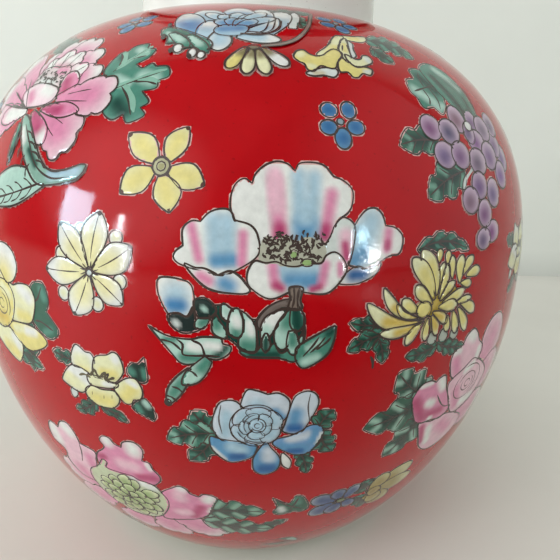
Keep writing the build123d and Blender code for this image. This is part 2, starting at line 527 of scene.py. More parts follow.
        steps = max(18, lobes * 8)
        rise = [i / steps for i in range(steps + 1)]
        outline = [edge(t, 1) for t in rise] + [edge(t, -1) for t in rise[-2:0:-1]]
        washes = [(DARK_LEAF, place(0.2), place(0.7), width * 0.2)]
        for i in range(max(2, lobes)):
            t = (i + 0.55) / max(2, lobes)
            for reach in (full(t), -full(t)):
                start, end = place(t - 0.06, 0.3 * reach), place(t + 0.05, 0.8 * reach)
                washes.append((pale, start, end, width * 0.075))
        self.shape(outline, dark, *washes, curve=False)
        self.stroke([place(0), place(0.3), place(0.6), place(0.94)], 1.2 * LINE)
        forward = (place(1) - place(0)) / length * 0.2
        for i in range(veins):
            t = 0.12 + 0.66 * i / max(1, veins)
            for sign in (1, -1):
                start, end = place(t), place(t + 0.2, sign * width * 0.36)
                self.stroke([start, (start + end) / 2 + forward, end], 0.9 * LINE)

    def squiggles(self, corners, count, width, length):
        """Short hooked brush marks scattered over a box, as stamens or shading."""
        (x0, y0), (x1, y1) = corners
        for _ in range(count):
            x, y = self.random.uniform(x0, x1), self.random.uniform(y0, y1)
            turn = self.random.uniform(0, TURN)
            marks = []
            for _ in range(4):
                marks.append((x, y))
                turn += self.random.uniform(-1.2, 1.2)
                x += length / 3 * math.cos(turn)
                y += length / 3 * math.sin(turn)
            self.stroke(marks, width)

    def spiral(self, x, y, arcs, width, colour, wide=1.0, tall=1.0, drift=0.0):
        """Open arcs round a point, each (reach, start, sweep) with its angles in degrees."""
        for reach, start, sweep in arcs:
            turns = [math.radians(start + sweep * i / 8) for i in range(9)]
            self.stroke([(x + reach * (wide * math.cos(a) - drift), y + reach * tall * math.sin(a))
                         for a in turns], width, colour)

    def finish(self):
        body = "jar" if self.surface is JAR else "lid"
        mesh = bpy.data.meshes.new(self.name)
        places = np.concatenate(self.places) * MM
        mesh.from_pydata(places.tolist(), [], self.faces)
        attribute = mesh.color_attributes.new("paint", "FLOAT_COLOR", "POINT")
        colours = np.concatenate([np.concatenate(self.colours), np.ones((len(places), 1))], 1)
        attribute.data.foreach_set("color", colours.ravel())
        mesh.validate()
        face_outwards(mesh)
        mesh.polygons.foreach_set("use_smooth", [True] * len(mesh.polygons))
        mesh.materials.append(ENAMEL)
        piece = bpy.data.objects.new(self.name, mesh)
        bpy.context.scene.collection.objects.link(piece)
        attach(piece, body)
        return piece


def face_outwards(mesh):
    """Turns every face of a mesh so that it looks away from the jar's inside."""
    middle = Vector((0, 0, BELLY_LEVEL * MM))
    bm = bmesh.new()
    bm.from_mesh(mesh)
    for face in bm.faces:
        face.normal_update()
        if face.normal.dot(face.calc_center_median() - middle) < 0:
            face.normal_flip()
    bm.to_mesh(mesh)
    bm.free()


# ---------------------------------------------------------------------------------------------
# Flowers and leaves
# ---------------------------------------------------------------------------------------------
# Each function draws one group in the flat frame of its Motif m, from back to front. A corner
# with a third value is kept sharp. After an outline's colour come its washes, each (colour,
# start, end, radius).
def lotus(m):
    m.shape([(-9, -1), (-12.3, 4.5), (-13, 8), (-12, 11.5), (-10, 13), (-8.3, 12, 1), (-7.6, 14),
        (-5.6, 16), (-3, 17), (-0.6, 16.5), (1, 15, 1), (2, 16.7), (5, 17), (7.6, 16.3), (9.6, 14, 1),
        (12, 13), (14, 11), (14, 8), (13, 6), (10.5, 4), (9, 0), (0, -3)], WHITE,
        (ROSE, (-2.4, 1.4), (-3.4, 12.8), 1.7), (PINK, (-3, 7), (-3.5, 14.4), 1.6),
        (DEEP_ROSE, (-2.3, 0.6), (-2.3, 2.4), 1.5), (ROSE, (7.8, 2), (9.2, 10), 1.5),
        (DEEP_ROSE, (7.7, 0.8), (7.9, 2.4), 1.4), (SKY, (2.0, 3), (1.8, 14), 1.7),
        (SKY, (4.6, 3), (5.2, 13.6), 1.7), (BLUE, (3.2, 1.2), (3.3, 3.2), 2.6),
        (SKY, (3.3, 5), (3.4, 7), 1.8), line=0.42)
    m.shape([(14.6, 3), (17, 6.3), (19.5, 7), (21.4, 5.6), (22.4, 3, 1), (25, 2.4), (27, 0.5), (27, -2),
        (26, -3.7), (23.5, -4), (18, -6.5), (14.6, -6), (13.3, -5), (14, -1)], WHITE,
        (SKY, (18.6, 4), (16.6, -3), 2.8), (BLUE, (15, -4.6), (16.4, -3.4), 2.2),
        (SKY, (15.4, 0), (15.8, 2.6), 1.0), (ROSE, (23.2, 1.6), (22.9, -2.2), 1.2),
        (DEEP_ROSE, (23, -1), (22.9, -1.8), 0.9), line=0.42)
    m.shape([(11, -9.4), (15, -6), (18.5, -6.6), (21.4, -5.4), (20.5, -7.6), (18.5, -9), (15, -10)],
            WHITE, (DEEP_BLUE, (14.6, -7.9), (17, -7.9), 1.7))
    m.shape([(7, -3), (9, 1), (10, 3.4), (12, 5), (14.7, 3), (14.4, -2), (13, -6), (10, -4.4)], PALE,
        (PINK, (12.6, 1), (12.8, -4), 1.6), (DEEP_ROSE, (12.4, -1), (12.9, -4), 0.9))
    m.shape([(-7, -3.4), (-7, 0.6), (-8.6, 3), (-12, 4, 1), (-13, 6), (-15, 6.3), (-17.5, 5.4),
        (-19.4, 3.4, 1), (-21.4, 3.4), (-23.3, 1.6), (-23.3, -2, 1), (-25, -3.4), (-25.3, -5), (-23, -6.4),
        (-15.5, -8), (-12, -7)], WHITE, (SKY, (-16.4, 3.6), (-16, -4), 2.0),
        (SKY, (-13.6, 3.6), (-13.6, -4), 2.0), (BLUE, (-16, -5), (-12.6, -4.6), 1.6),
        (ROSE, (-21.4, 2.4), (-19.8, -4.6), 1.1),
        (ROSE, (-10.2, 1), (-10.4, -5.4), 1.1), line=0.42)
    m.shape([(-23, -6), (-20.6, -6.6), (-18.4, -6.7), (-15.6, -8, 1), (-13, -7), (-11, -8), (-9.6, -9.6),
        (-8.6, -11.3), (-11, -12), (-18, -11)], WHITE, (ROSE, (-19.4, -8.4), (-17.6, -9.4), 1.3),
        (BLUE, (-14.2, -9.8), (-13.2, -10.3), 1.9), line=0.5)
    m.shape([(-6.6, -0.6), (-5.4, 1), (-3, 0.4), (-1, 1.4), (1.4, 0), (4, 1), (8.4, -1), (8, -4), (4, -6),
        (-5, -6), (-7, -4)], linear(176, 176, 158), line=0)
    m.shape([(-5.3, -5), (-7.6, -4.6), (-9, -6.5), (-9.3, -9), (-8, -11), (-4, -13), (1, -11, 1), (7, -12),
        (10, -11), (13, -7), (12, -4), (10, -2.6), (8, -3.4), (7, -5), (4, -5), (1.5, -5.7), (-1, -5.5),
        (-3, -4.7)], WHITE, (SKY, (-1.6, -6.6), (5.6, -7), 2.4), (BLUE, (0, -8.8), (5.4, -8.8), 1.7),
        (BLUE, (4, -9.4), (5.6, -9.2), 1.1), (ROSE, (-3.8, -5.4), (-3.2, -9.6), 1.2),
        (DEEP_ROSE, (-2.8, -10), (-1.8, -10.6), 1.1), (ROSE, (8, -5.4), (7.4, -9.4), 1.1),
        (DEEP_ROSE, (6.8, -10.4), (5.2, -10.9), 0.9), (ROSE, (11.4, -5.4), (11.6, -7.6), 0.8), line=0.42)
    m.squiggles(((-6, -4.4), (7.2, 0)), 88, 0.54, length=1.5)
    m.squiggles(((-5.4, 0), (7.4, 1.8)), 30, 0.5, length=1.2)
    m.blob(0.8, -3.1, 2, 2.2, linear(150, 180, 116), line=0.25)
    m.blob(3.8, -4.9, 3, 1.7, linear(150, 180, 116), line=0.25)
    m.strokes(0.9, [(0.2, -11), (0.4, -12.4), (-0.6, -14.6)], [(1.6, -11), (1.6, -13), (2, -15)],
        colour=linear(96, 84, 78))


def bud_and_stalks(m):
    m.shape([(-20.6, 13.4), (-14.5, 13), (-13, 10.5), (-13, 7), (-14.4, 5), (-17, 5.6), (-18.6, 5),
        (-21, 9.6)], WHITE, (SKY, (-17, 9.6), (-17, 8), 3.0), (linear(64, 124, 172), (-18, 7.4), (-16, 7.4),
        1.7), line=0.44)
    m.shape([(-19, 5), (-16.5, 5.7), (-14.5, 5), (-13, 7.4), (-12.4, 4), (-10.6, 3), (-12.4, 1.6),
        (-15.5, 1), (-18, 2.4)], linear(36, 48, 46), (PALE, (-17.2, 3.4), (-16.8, 3.0), 0.8), line=0.46)
    m.shape([(-6.4, -1), (-7, 0.3), (-11, 0.4), (-14, -0.4), (-19, 0), (-23.6, 2, 1), (-18.4, -4),
        (-16, -6.5), (-13, -6.5), (-10.5, -5), (-7.5, -5), (-5, -3.4), (-4.6, -1.6)], MINT,
        (TEAL, (-17.8, -0.6), (-19.5, -1.0), 1.0), (TEAL, (-15.5, -5), (-12, -5), 1.3),
        (WHITE, (-13.6, -2), (-12, -2.2), 1.2), (DEEP_TEAL, (-6, -2), (-8, -4.6), 1.2),
        (WHITE, (-10, -1.6), (-7.6, -1.8), 1.0), line=0.5)
    m.strokes(0.55, [(-13.6, -0.6), (-11.4, -1.6), (-10.4, -4.6)],
        [(-17, -0.6), (-15.6, -1.8), (-15.6, -4.2), (-13, -4.4), (-10.6, -4.2), (-7, -4.2)])
    m.stroke([(-21, -1), (-18, -1.6), (-15.8, -3.4)], 0.5)
    m.shape([(-9.6, 7), (-6, 8), (0.4, 5), (2.6, 7), (8.6, 8.6), (11, 6), (11.6, 0), (10.4, -4.6), (5, -4),
        (-1, -3.6), (-4, -0.6), (-8, 2.4)], DEEP_TEAL, line=0.4)
    m.shape([(-13, 8.6), (-10.6, 9.6), (-8.4, 8), (-8, 6.4), (-9.6, 5), (-12, 5)], linear(34, 50, 46),
            (MINT, (-10.8, 7.2), (-10.4, 6.8), 0.6), line=0.5)
    m.petal((-9.6, 4.8), (-12.8, 2.6), 2.6, MINT, TEAL, point=0.6)
    m.petal((-8.2, 5.6), (-5.6, 0.2), 3.0, MINT, TEAL, 0.4, bend=-0.12, point=0.7, line=0.44)
    m.petal((-6.6, 8.4), (-4.6, 4.4), 3.0, WHITE, MINT, point=0.3, line=0.5)
    m.shape([(-5.4, 4), (-4.6, 7), (-3, 7.4), (-2, 5), (-2, 2), (-3, 0.5), (-5, 1.4)], MINT,
            (TEAL, (-3.6, 1), (-3.4, 2), 1.2), (WHITE, (-3.6, 5), (-3, 4), 1.2), line=0.46)
    m.shape([(-2.6, 7), (-0.4, 5.4), (1, 2.6), (1, -2.6), (-2.4, -2), (-3, 0), (-2, 2), (-2, 5)],
            MINT, (TEAL, (-1.4, -1.2), (0, -1.4), 1.8), (WHITE, (-0.6, 4), (0, 2), 1.0), line=0.5)
    m.shape([(1, 4.6), (3, 7.6), (6, 9.4), (8.4, 9.7), (9, 8), (6, 7.4), (3.6, 5.4), (2, 2.4)],
        linear(112, 100, 94), line=0.5)
    m.shape([(-2.6, -2.4), (0.6, -3), (2.4, -1), (3.6, -2.6), (5, -0.6), (7, -3), (11, 1), (11.6, 5),
        (10.3, 7.6), (12, 2), (10.4, -5), (6, -4.3), (-1, -4)], TEAL,
        (DEEP_TEAL, (0, -3.2), (6, -3.4), 0.9), (MINT, (11, 1), (10, -1), 0.7), line=0.5)
    m.petal((2.8, -1.4), (7.6, 7.4), 3.6, WHITE, MINT, 0.35, bend=0.16, point=0.7, line=0.46)
    m.petal((3.2, 1.8), (3.2, -3), 2.2, MINT, DEEP_TEAL, 0.9, line=0.44)
    m.petal((9.4, 7.6), (6.6, -2.2), 4.6, MINT, TEAL, 0.35, bend=-0.05, point=0.2, foot=0.4, line=0.46)
    m.petal((9.4, 8), (10.2, 2.2), 3.6, TEAL, DEEP_TEAL, 0.8, bend=0.05, point=0.2, foot=0.5, line=0.46)
    m.petal((9, 2.4), (9.6, -3.6), 3.0, MINT, TEAL, point=0.3, foot=0.5, line=0.44)
    m.shape([(11, -1), (18, 3), (19.4, 3, 1), (19, -0.4), (17.4, -4), (12.5, -7), (10.4, -5.4), (10, -3)],
        TEAL, (DEEP_TEAL, (17.6, 1.6), (18.6, 2.2), 1.2), (MINT, (12.4, -5.4), (15, -4.6), 1.2),
        (MINT, (13, -2), (15.4, -0.6), 0.8), line=0.5)
    for x in (0, 1.6, 3.1):
        m.stroke([(11.8 + x, -4.0 + 0.5 * x), (14 + x, -1.4 + 0.2 * x), (15.4 + 0.9 * x, 0.8 - 0.1 * x)],
            0.5)
    m.shape([(8, 12.4), (11, 12.4), (10.6, 9.6), (11, 7.6), (8, 7.6), (8.3, 10)], linear(120, 106, 96),
        line=0.5)
    m.strokes(0.5, [(9, 12.4), (9.2, 10), (8.8, 7.8)], [(10.2, 12.4), (9.9, 10), (10.1, 7.8)])
    m.petal((-13.4, -8), (-19.6, -18), 3.6, MINT, TEAL, 0.7, bend=-0.05, point=0.6, foot=0.6, line=0.46)
    m.petal((-9.6, -4.8), (-15.8, -12), 4.0, MINT, TEAL, 0.3, bend=0.04, point=0.5, foot=0.55, line=0.46)
    for x, y in ((-13.6, -8.6), (-17, -13.4), (-18.6, -16)):
        m.stroke([(x - 1.4, y + 0.6), (x + 0.2, y + 0.2), (x + 1.4, y - 1)], 0.5)
    m.blob(-19.4, -17.4, 1.6, 1.9, linear(52, 60, 56), line=0.5)


def blue_rose(m):
    m.leaf((-11, -2), (-16, 3.6), 7, 0.05, 2, linear(54, 108, 90), veins=2)
    m.leaf((-11, -5), (-17, -13.4), 7, 0.05, 2, linear(40, 88, 74), veins=2)
    m.leaf((-10, -3), (-22.6, -6.4), 9, -0.06, 3, linear(62, 120, 102), linear(136, 180, 162))
    m.leaf((15, -2), (18.6, 3.4), 6.6, 0.1, 2, veins=2)
    m.leaf((15.6, -3), (19.4, -10.4), 7.0, -0.1, 3)
    m.leaf((10.6, -9), (13.2, -18), 4.6, 0.05, 3, veins=2)
    m.petal((6.4, -9.6), (8.4, -15.6), 2.6, WHITE, point=0.8)
    pale, blue = linear(196, 206, 214), linear(110, 150, 190)
    m.shape([(6.4, 0), (8, 7), (9.5, 9), (12, 9.5), (14, 8), (14.3, 5), (12, -0.5), (10.5, -3), (8, -3),
        (6, -2)], pale, (BLUE, (8.6, 0), (9, 3), 2.0), (DEEP_BLUE, (8, -1.4), (10, -1.4), 1.5))
    m.stroke([(12.2, 8.8), (11.9, 5), (12.6, 0.4)], 0.35, linear(90, 84, 84))
    m.shape([(-4.3, 5), (-3, 10), (-0.5, 10), (2, 9, 1), (4.5, 9.3), (6.6, 8), (7.4, 6), (6.6, 2), (3, -1),
        (-2, 1)], pale, (SKY, (-0.4, 5.4), (0.8, 4), 2.2), (BLUE, (4, 4), (6.2, 1.6), 1.2))
    m.shape([(-9, 6.6), (-5.5, 7), (-3, 4), (-1.6, 1), (-2, -5), (-6, -6), (-9.4, -4.4), (-11, -1),
        (-10.6, 3)], pale, (SKY, (-7.6, 3), (-7.8, -3), 1.4))
    m.stroke([(-8.9, 5.8), (-9.4, 1.5), (-8.6, -3)], 0.35, linear(90, 84, 84))
    m.shape([(4.6, -4.6), (8, -3.6), (11, -2), (12, -1), (14, -0.5), (16, -1.6), (16.5, -4), (15, -7.4),
        (13, -10), (9.5, -10.4), (4, -6.6)], blue, (pale, (8, -5), (12.4, -3.6), 1.3),
        (BLUE, (6, -7), (12, -8), 1.3), (DEEP_BLUE, (8, -9), (11, -9), 1.0),
        (BLUE, (14.4, -2), (13.6, -6), 1.0), (WHITE, (16, -3.4), (15, -7), 0.5))
    m.shape([(2, -5.4), (3.4, -7.4), (5.6, -10.6), (6, -13), (5, -16), (2, -17.5), (-0.4, -16), (-1, -13),
        (-0.6, -10)], BLUE, (pale, (3, -8.6), (3.1, -11), 1.8), (DEEP_BLUE, (1.6, -15), (3.6, -15), 1.7))
    m.shape([(-11.6, -4), (-9, -4.6), (-3.6, -5.4), (-0.6, -6), (0, -7.4), (-1, -10.4), (-3.6, -12),
        (-6.6, -12.6), (-9.4, -10.6), (-11.4, -7.6)], BLUE, (SKY, (-6, -7), (-4, -8), 1.8),
        (DEEP_BLUE, (-6, -10.6), (-3.6, -10.4), 1.2), (WHITE, (-11.3, -7.6), (-8, -11.6), 0.6))
    heart = [(-6.6, 1.6), (-4.6, 4.6), (-1.6, 6), (2, 5.6), (4.8, 2.6), (5.8, -1), (4.6, -4.4), (2, -6.2),
        (-1.4, -6.6), (-4.8, -4.8), (-6.6, -1.6)]
    m.shape(heart, linear(176, 190, 204), (SKY, (-3.4, -3), (0, -4.6), 1.2),
        (WHITE, (-4.4, 2), (-3.6, 0), 1.0), line=0.3)
    boss(m, -0.4, -0.2, ((1.6, 6.6, 6, 6.2), (1.0, 4.4, 5, 4.4)), linear(190, 202, 212), SKY, 0.22)
    m.blob(-0.2, 0, 4.2, 4.4, linear(182, 196, 208), SKY, line=0.24)
    m.spiral(-0.2, 0, ((0.7, 30, 290), (1.4, 200, 230), (3.2, 100, 120), (5.0, 200, 90)), 0.26,
        linear(84, 78, 82), tall=1.05)


def star_flower(m):
    for base, tip, width, bend in (((-1.2, 1.2), (-8.7, 7.2), 6.2, -0.04),
            ((1.4, 1.5), (5, 9.4), 5.4, 0.05), ((2, -0.6), (10, -3.6), 6, 0.03),
            ((0.4, -2), (2.8, -9.8), 6.4, 0.05), ((-1.8, -0.8), (-9, -6.4), 6.2, -0.05)):
        m.petal(base, tip, width, CREAM, YELLOW, 0.6, bend, point=0.8, foot=0.3, widest=0.5)
        tip, base = np.array(tip), np.array(base)
        inner = tip + (base - tip) * 0.1
        m.stroke([inner, tip], 1.5, linear(84, 56, 44))
    m.blob(0, 0.1, 4.0, 4.2, linear(178, 176, 138), line=0.5)
    m.blob(0, 0.1, 2.0, 2.2, linear(158, 156, 108), line=0.3)


def striped_lily(m):
    for x, y in ((-2.7, 9.2), (6.6, 8.4), (-8.3, 3.2), (-7.8, -6.2), (1.9, -7.4), (7.9, -1.4)):
        m.blob(x, y, 3.4, 3.6, WHITE, CREAM, spread=0.3, line=0.32)
    for tip, width, bend in (((2.2, 13.9), 6.6, 0.03), ((-8.9, 10.4), 6.2, 0.02), ((-13.2, -1), 6.2, 0.02),
            ((-4.8, -11), 6.8, 0.03), ((8.6, -6.6), 5.8, 0.02), ((10.6, 6.8), 6.6, -0.04)):
        tip = np.array(tip)
        base = tip * 0.08
        m.petal(base, tip, 1.08 * width, WHITE, linear(228, 222, 166), 0.45, bend, point=0.7, foot=0.15,
            widest=0.62, line=0.32, veins=((0, 0.15, 0.95),))
        m.stroke([tip * 0.93, tip], 1.3)
    m.blob(0, -0.2, 1.8, 1.8, PALE, line=0.5)
    for k in range(12):
        a = math.radians(30 * k + 12)
        m.stroke([(1.0 * math.cos(a), 1.0 * math.sin(a)),
            (2.6 * math.cos(a + 0.12), 2.6 * math.sin(a + 0.12))], 0.3)


def chrysanthemum(m):
    m.leaf((-3, 14.5), (15.5, 13), 5.2, 0.12, 4)
    m.leaf((-10, -2), (-20.5, -1.5), 5.0, 0.08, 3)
    m.leaf((-10.5, -5), (-20.5, -8.6), 5.4, -0.05, 3)
    m.leaf((-12.5, -6), (-10.6, -13), 4.6, 0.06, 2, veins=2)
    m.stroke([(-14.2, -10.5), (-13.4, -12), (-13.2, -14)], 0.7)
    m.leaf((6.5, -10.6), (-4, -12.2), 5.0, 0.06, 3)
    m.leaf((6, -10.2), (18, -13.4), 4.6, -0.06, 4)
    grey = linear(176, 184, 172)
    m.blob(5.4, 1.6, 13, 9, GOLD)
    for x in (3.6, 7.6, 11.8):
        m.petal((x, -6.6), (x + 0.8, -10.4), 3.4, grey, point=0.3)
    rays = (((4, 11), (4.4, 14.4), 2.2, 0), ((7, 10), (7.2, 13.8), 2.2, 0), ((9, 6.5), (8.6, 12.4), 2.6, 0),
        ((12, 5), (12.4, 12.2), 3.4, 0.05), ((13, 7), (17.2, 11.4), 3, 0.06),
        ((12.4, 5), (17, 4.2), 2.4, 0), ((14.4, 6.6), (20.6, 7.4), 3, 0.04),
        ((8.6, -3), (9.0, -7.6), 2.4, 0), ((12.4, -1.6), (17, -8.8), 3, 0.05),
        ((10.4, -2), (12.6, -8.6), 2.8, 0.04), ((13, -0.4), (20, -3.8), 3.2, 0.05),
        ((10, -0.2), (17.6, 0.5), 2, 0.02), ((4, 4), (5.8, 11), 2.4, 0.05),
        ((4.6, 2), (7, 10.6), 2.6, -0.05), ((5, 1.4), (10, 5.8), 2.6, 0.05),
        ((6, 0.8), (14.4, 3), 3.2, -0.03), ((3.6, 3), (-1.6, 14.6), 4.6, -0.08),
        ((3, 2), (-4.4, 12.8), 4.4, -0.06), ((2.4, 0.8), (-3.2, 6), 3.4, 0.02),
        ((-1, -2.4), (-12.2, 6.2), 2.8, 0.14), ((-1.8, -2), (-8.4, 2), 2, 0.14),
        ((-1.4, -0.6), (-7, 3), 3.2, 0.06), ((0, -3), (-16.4, 2.8), 3.8, 0.16),
        ((-0.4, -3.6), (-12.4, -5), 3, 0.06), ((0.2, -3.2), (-4.8, -8.8), 3, -0.06),
        ((1.5, -2.6), (1.2, -8.6), 2.4, 0), ((2.6, -2), (5.2, -7.8), 2.8, 0.05),
        ((2.8, -1.2), (8.2, -4.8), 2.8, 0.06), ((4.6, -0.2), (11.6, -0.6), 3.4, 0.02),)
    for base, tip, width, bend in rays:
        warm = GOLD if tip[0] < -11 or (tip[1] < -4 and 4 < tip[0] < 9) else YELLOW
        m.petal(base, tip, width, CREAM, warm, 0.6, bend, point=0.25, foot=0.2, widest=0.68, line=0.4)
    m.blob(-0.2, -0.2, 4.8, 4.4, YELLOW, line=0.4)


def camellia(m):
    m.leaf((-7.6, 2.4), (-14.6, 3.6), 4.6, 0.04, 2, veins=2)
    m.shape([(7.6, 3), (9, 5), (10.6, 5), (12.4, 7, 1), (13, 1.5), (12, 0), (10, 0), (8, 1.4)], DARK_LEAF,
            (TEAL, (8.4, 3), (9, 2.4), 1.0), (TEAL, (12, 3.4), (12.2, 1.6), 0.7))
    m.shape([(8, -7), (11.6, -4.4), (14, -8.6), (13.3, -11, 1), (9, -9)], DARK_LEAF,
            (MINT, (11.6, -5.6), (12.2, -6.4), 0.9), (TEAL, (9.4, -7), (10, -8.6), 0.8))
    m.leaf((-2.4, -8), (-10, -12.8), 4.6, 0.1, 3)
    m.leaf((-1.4, -9.6), (6.2, -13), 3.4, 0.08, 2, veins=2)
    m.petal((-8.6, -5), (-9.6, -9), 2.4, PALE, point=0.6, line=0.3)
    m.shape([(-6.5, 7), (-3.6, 5.6), (-2, 5.5), (-1, 3.4), (-2, 0.4), (-4, -0.6), (-6, 0.6), (-8, 1),
        (-8.5, 3)], WHITE, (YELLOW, (-5.6, 1.6), (-4, 1), 1.6), (CREAM, (-6, 3), (-4, 3), 1.8))
    m.shape([(-1, 4.6), (2.6, 6), (4.4, 7), (6, 6), (6.7, 2), (3.6, -1.6), (0.6, -1), (-2, -0.6)], CREAM,
        (WHITE, (4.6, 5.6), (5, 5), 1.2), (YELLOW, (1, 1), (4, 1), 1.4))
    m.shape([(-3.4, 0), (-8.4, 1), (-12.3, -3.4), (-11.6, -5), (-6.6, -6.6), (-3, -3)], WHITE,
        (YELLOW, (-10, -3.4), (-8.6, -4), 1.7), (CREAM, (-10, -3), (-6, -5), 1.8))
    m.shape([(6.4, 0), (9, 1), (10.5, 0), (11.3, -2.6), (10.4, -5), (8.6, -5.3), (8, -6.5), (6, -6.7),
        (3.6, -3)], CREAM, (YELLOW, (8.4, -2.6), (6.6, -4.8), 2.0), (WHITE, (7.6, 0), (9.6, -1), 0.8))
    m.shape([(-3.6, -0.4), (0.6, -0.4), (2.6, 1), (2, -1), (5, -1.5), (3.4, -3), (-3, -3.4)],
            CREAM, (WHITE, (1, -2.2), (3, -2.2), 0.8))
    m.shape([(-3, -3.6), (0, -4), (3.4, -3.7), (4.7, -5), (4.5, -7), (2.6, -9), (0, -9.6), (-3, -9),
        (-5, -7), (-5, -5)], CREAM, (YELLOW, (-2.4, -7), (2, -7.2), 2.0))
    m.stroke([(-6.4, -1.4), (-4.8, -0.7), (-2.8, -1.2)], 0.6, linear(104, 96, 70))
    zigzag = ((-2.8, -0.8), (-1.4, 1.5), (-0.4, -0.8), (1.8, 1.3), (1.4, -1.2), (4.2, 0.2))
    m.strokes(0.7, *zip(zigzag, zigzag[1:]), colour=linear(84, 74, 52))
    for x, y in ((-3, -6.4), (0.4, -6.8), (2.8, -6.2)):
        m.stroke([(x, y + 1.2), (x - 0.2, y)], 0.35, linear(150, 140, 92))


def grapes(m):
    m.leaf((-5, 12.6), (-18, 11.2), 8, -0.06, 2, LEAF, linear(110, 158, 138))
    m.leaf((2.6, 5), (-12.4, -1.4), 10, -0.06, 3, LEAF, linear(110, 158, 138))
    m.stroke([(0.4, -3), (1.6, 2), (4.4, 4.4), (7, 6)], 1.0, PALE)
    m.stroke([(-0.4, -3), (0.8, 2.2), (4, 5.2), (7, 6.8)], 0.35)
    for x, y, w, h in ((12.4, 18.6, 5.4, 6), (25.6, 8, 6, 6.6), (22, 12, 6.4, 6.6), (24, 18, 6.4, 6.4),
            (17.2, 16.6, 6.8, 6.6), (11.3, 12.8, 7, 5.6), (5.2, 19, 5.8, 6.8), (8.6, 15, 4.2, 5.2),
            (-6.3, 16.2, 5.8, 5.8), (0, 15.2, 6.4, 6), (16.5, 8.8, 7.2, 6.8), (9.2, 7.2, 6.8, 6.2),
            (-4, 9, 6.4, 6), (2, 9, 6.2, 6.2), (21.5, 3.4, 6, 6.6), (14.5, -1.2, 5.8, 6.6),
            (7.8, 1, 6.2, 6.2), (3, -2.6, 6, 5.8), (12.5, -11.2, 6.4, 5), (8, -12.8, 5.8, 4.8),
            (9, -6.2, 5.8, 6.2)):
        core = linear(*(v + m.random.uniform(-14, 22) for v in (104, 70, 116)))
        m.blob(x, y, 1.2 * w, 1.2 * h, linear(194, 170, 190), core, (-0.6, -0.5), 0.34, line=0.34)
    m.blob(9, 17, 3.4, 3, WHITE, line=0.3)


def small_blue(m):
    for x, y, w, h in ((-2.6, 2.6, 4.2, 4), (2.1, 2.8, 3.8, 4.6), (-3.2, -1.8, 4.2, 3.8),
            (3.3, -1.6, 4.4, 3.8), (-0.1, -4.4, 4, 5.2)):
        m.blob(x, y, w, h, linear(116, 164, 192), linear(40, 100, 152), line=0.42)
    m.blob(-0.3, -0.3, 1.8, 1.8, linear(136, 156, 164), line=0.35)


def boss(m, x, y, rings, colour, core, line=0.3):
    """Rings of small petals round a point, the outermost ring given first."""
    for inner, outer, count, width in rings:
        for k in range(count):
            a = 2 * math.pi * (k + 0.35 * outer) / count
            a += m.random.uniform(-0.12, 0.12)
            reach = outer * m.random.uniform(0.84, 1.1)
            base = (x + inner * math.cos(a), y + inner * math.sin(a))
            tip = (x + reach * math.cos(a + 0.1), y + reach * math.sin(a + 0.1))
            m.petal(base, tip, width, colour, core, 0.5, 0.08, point=0.3, line=line)


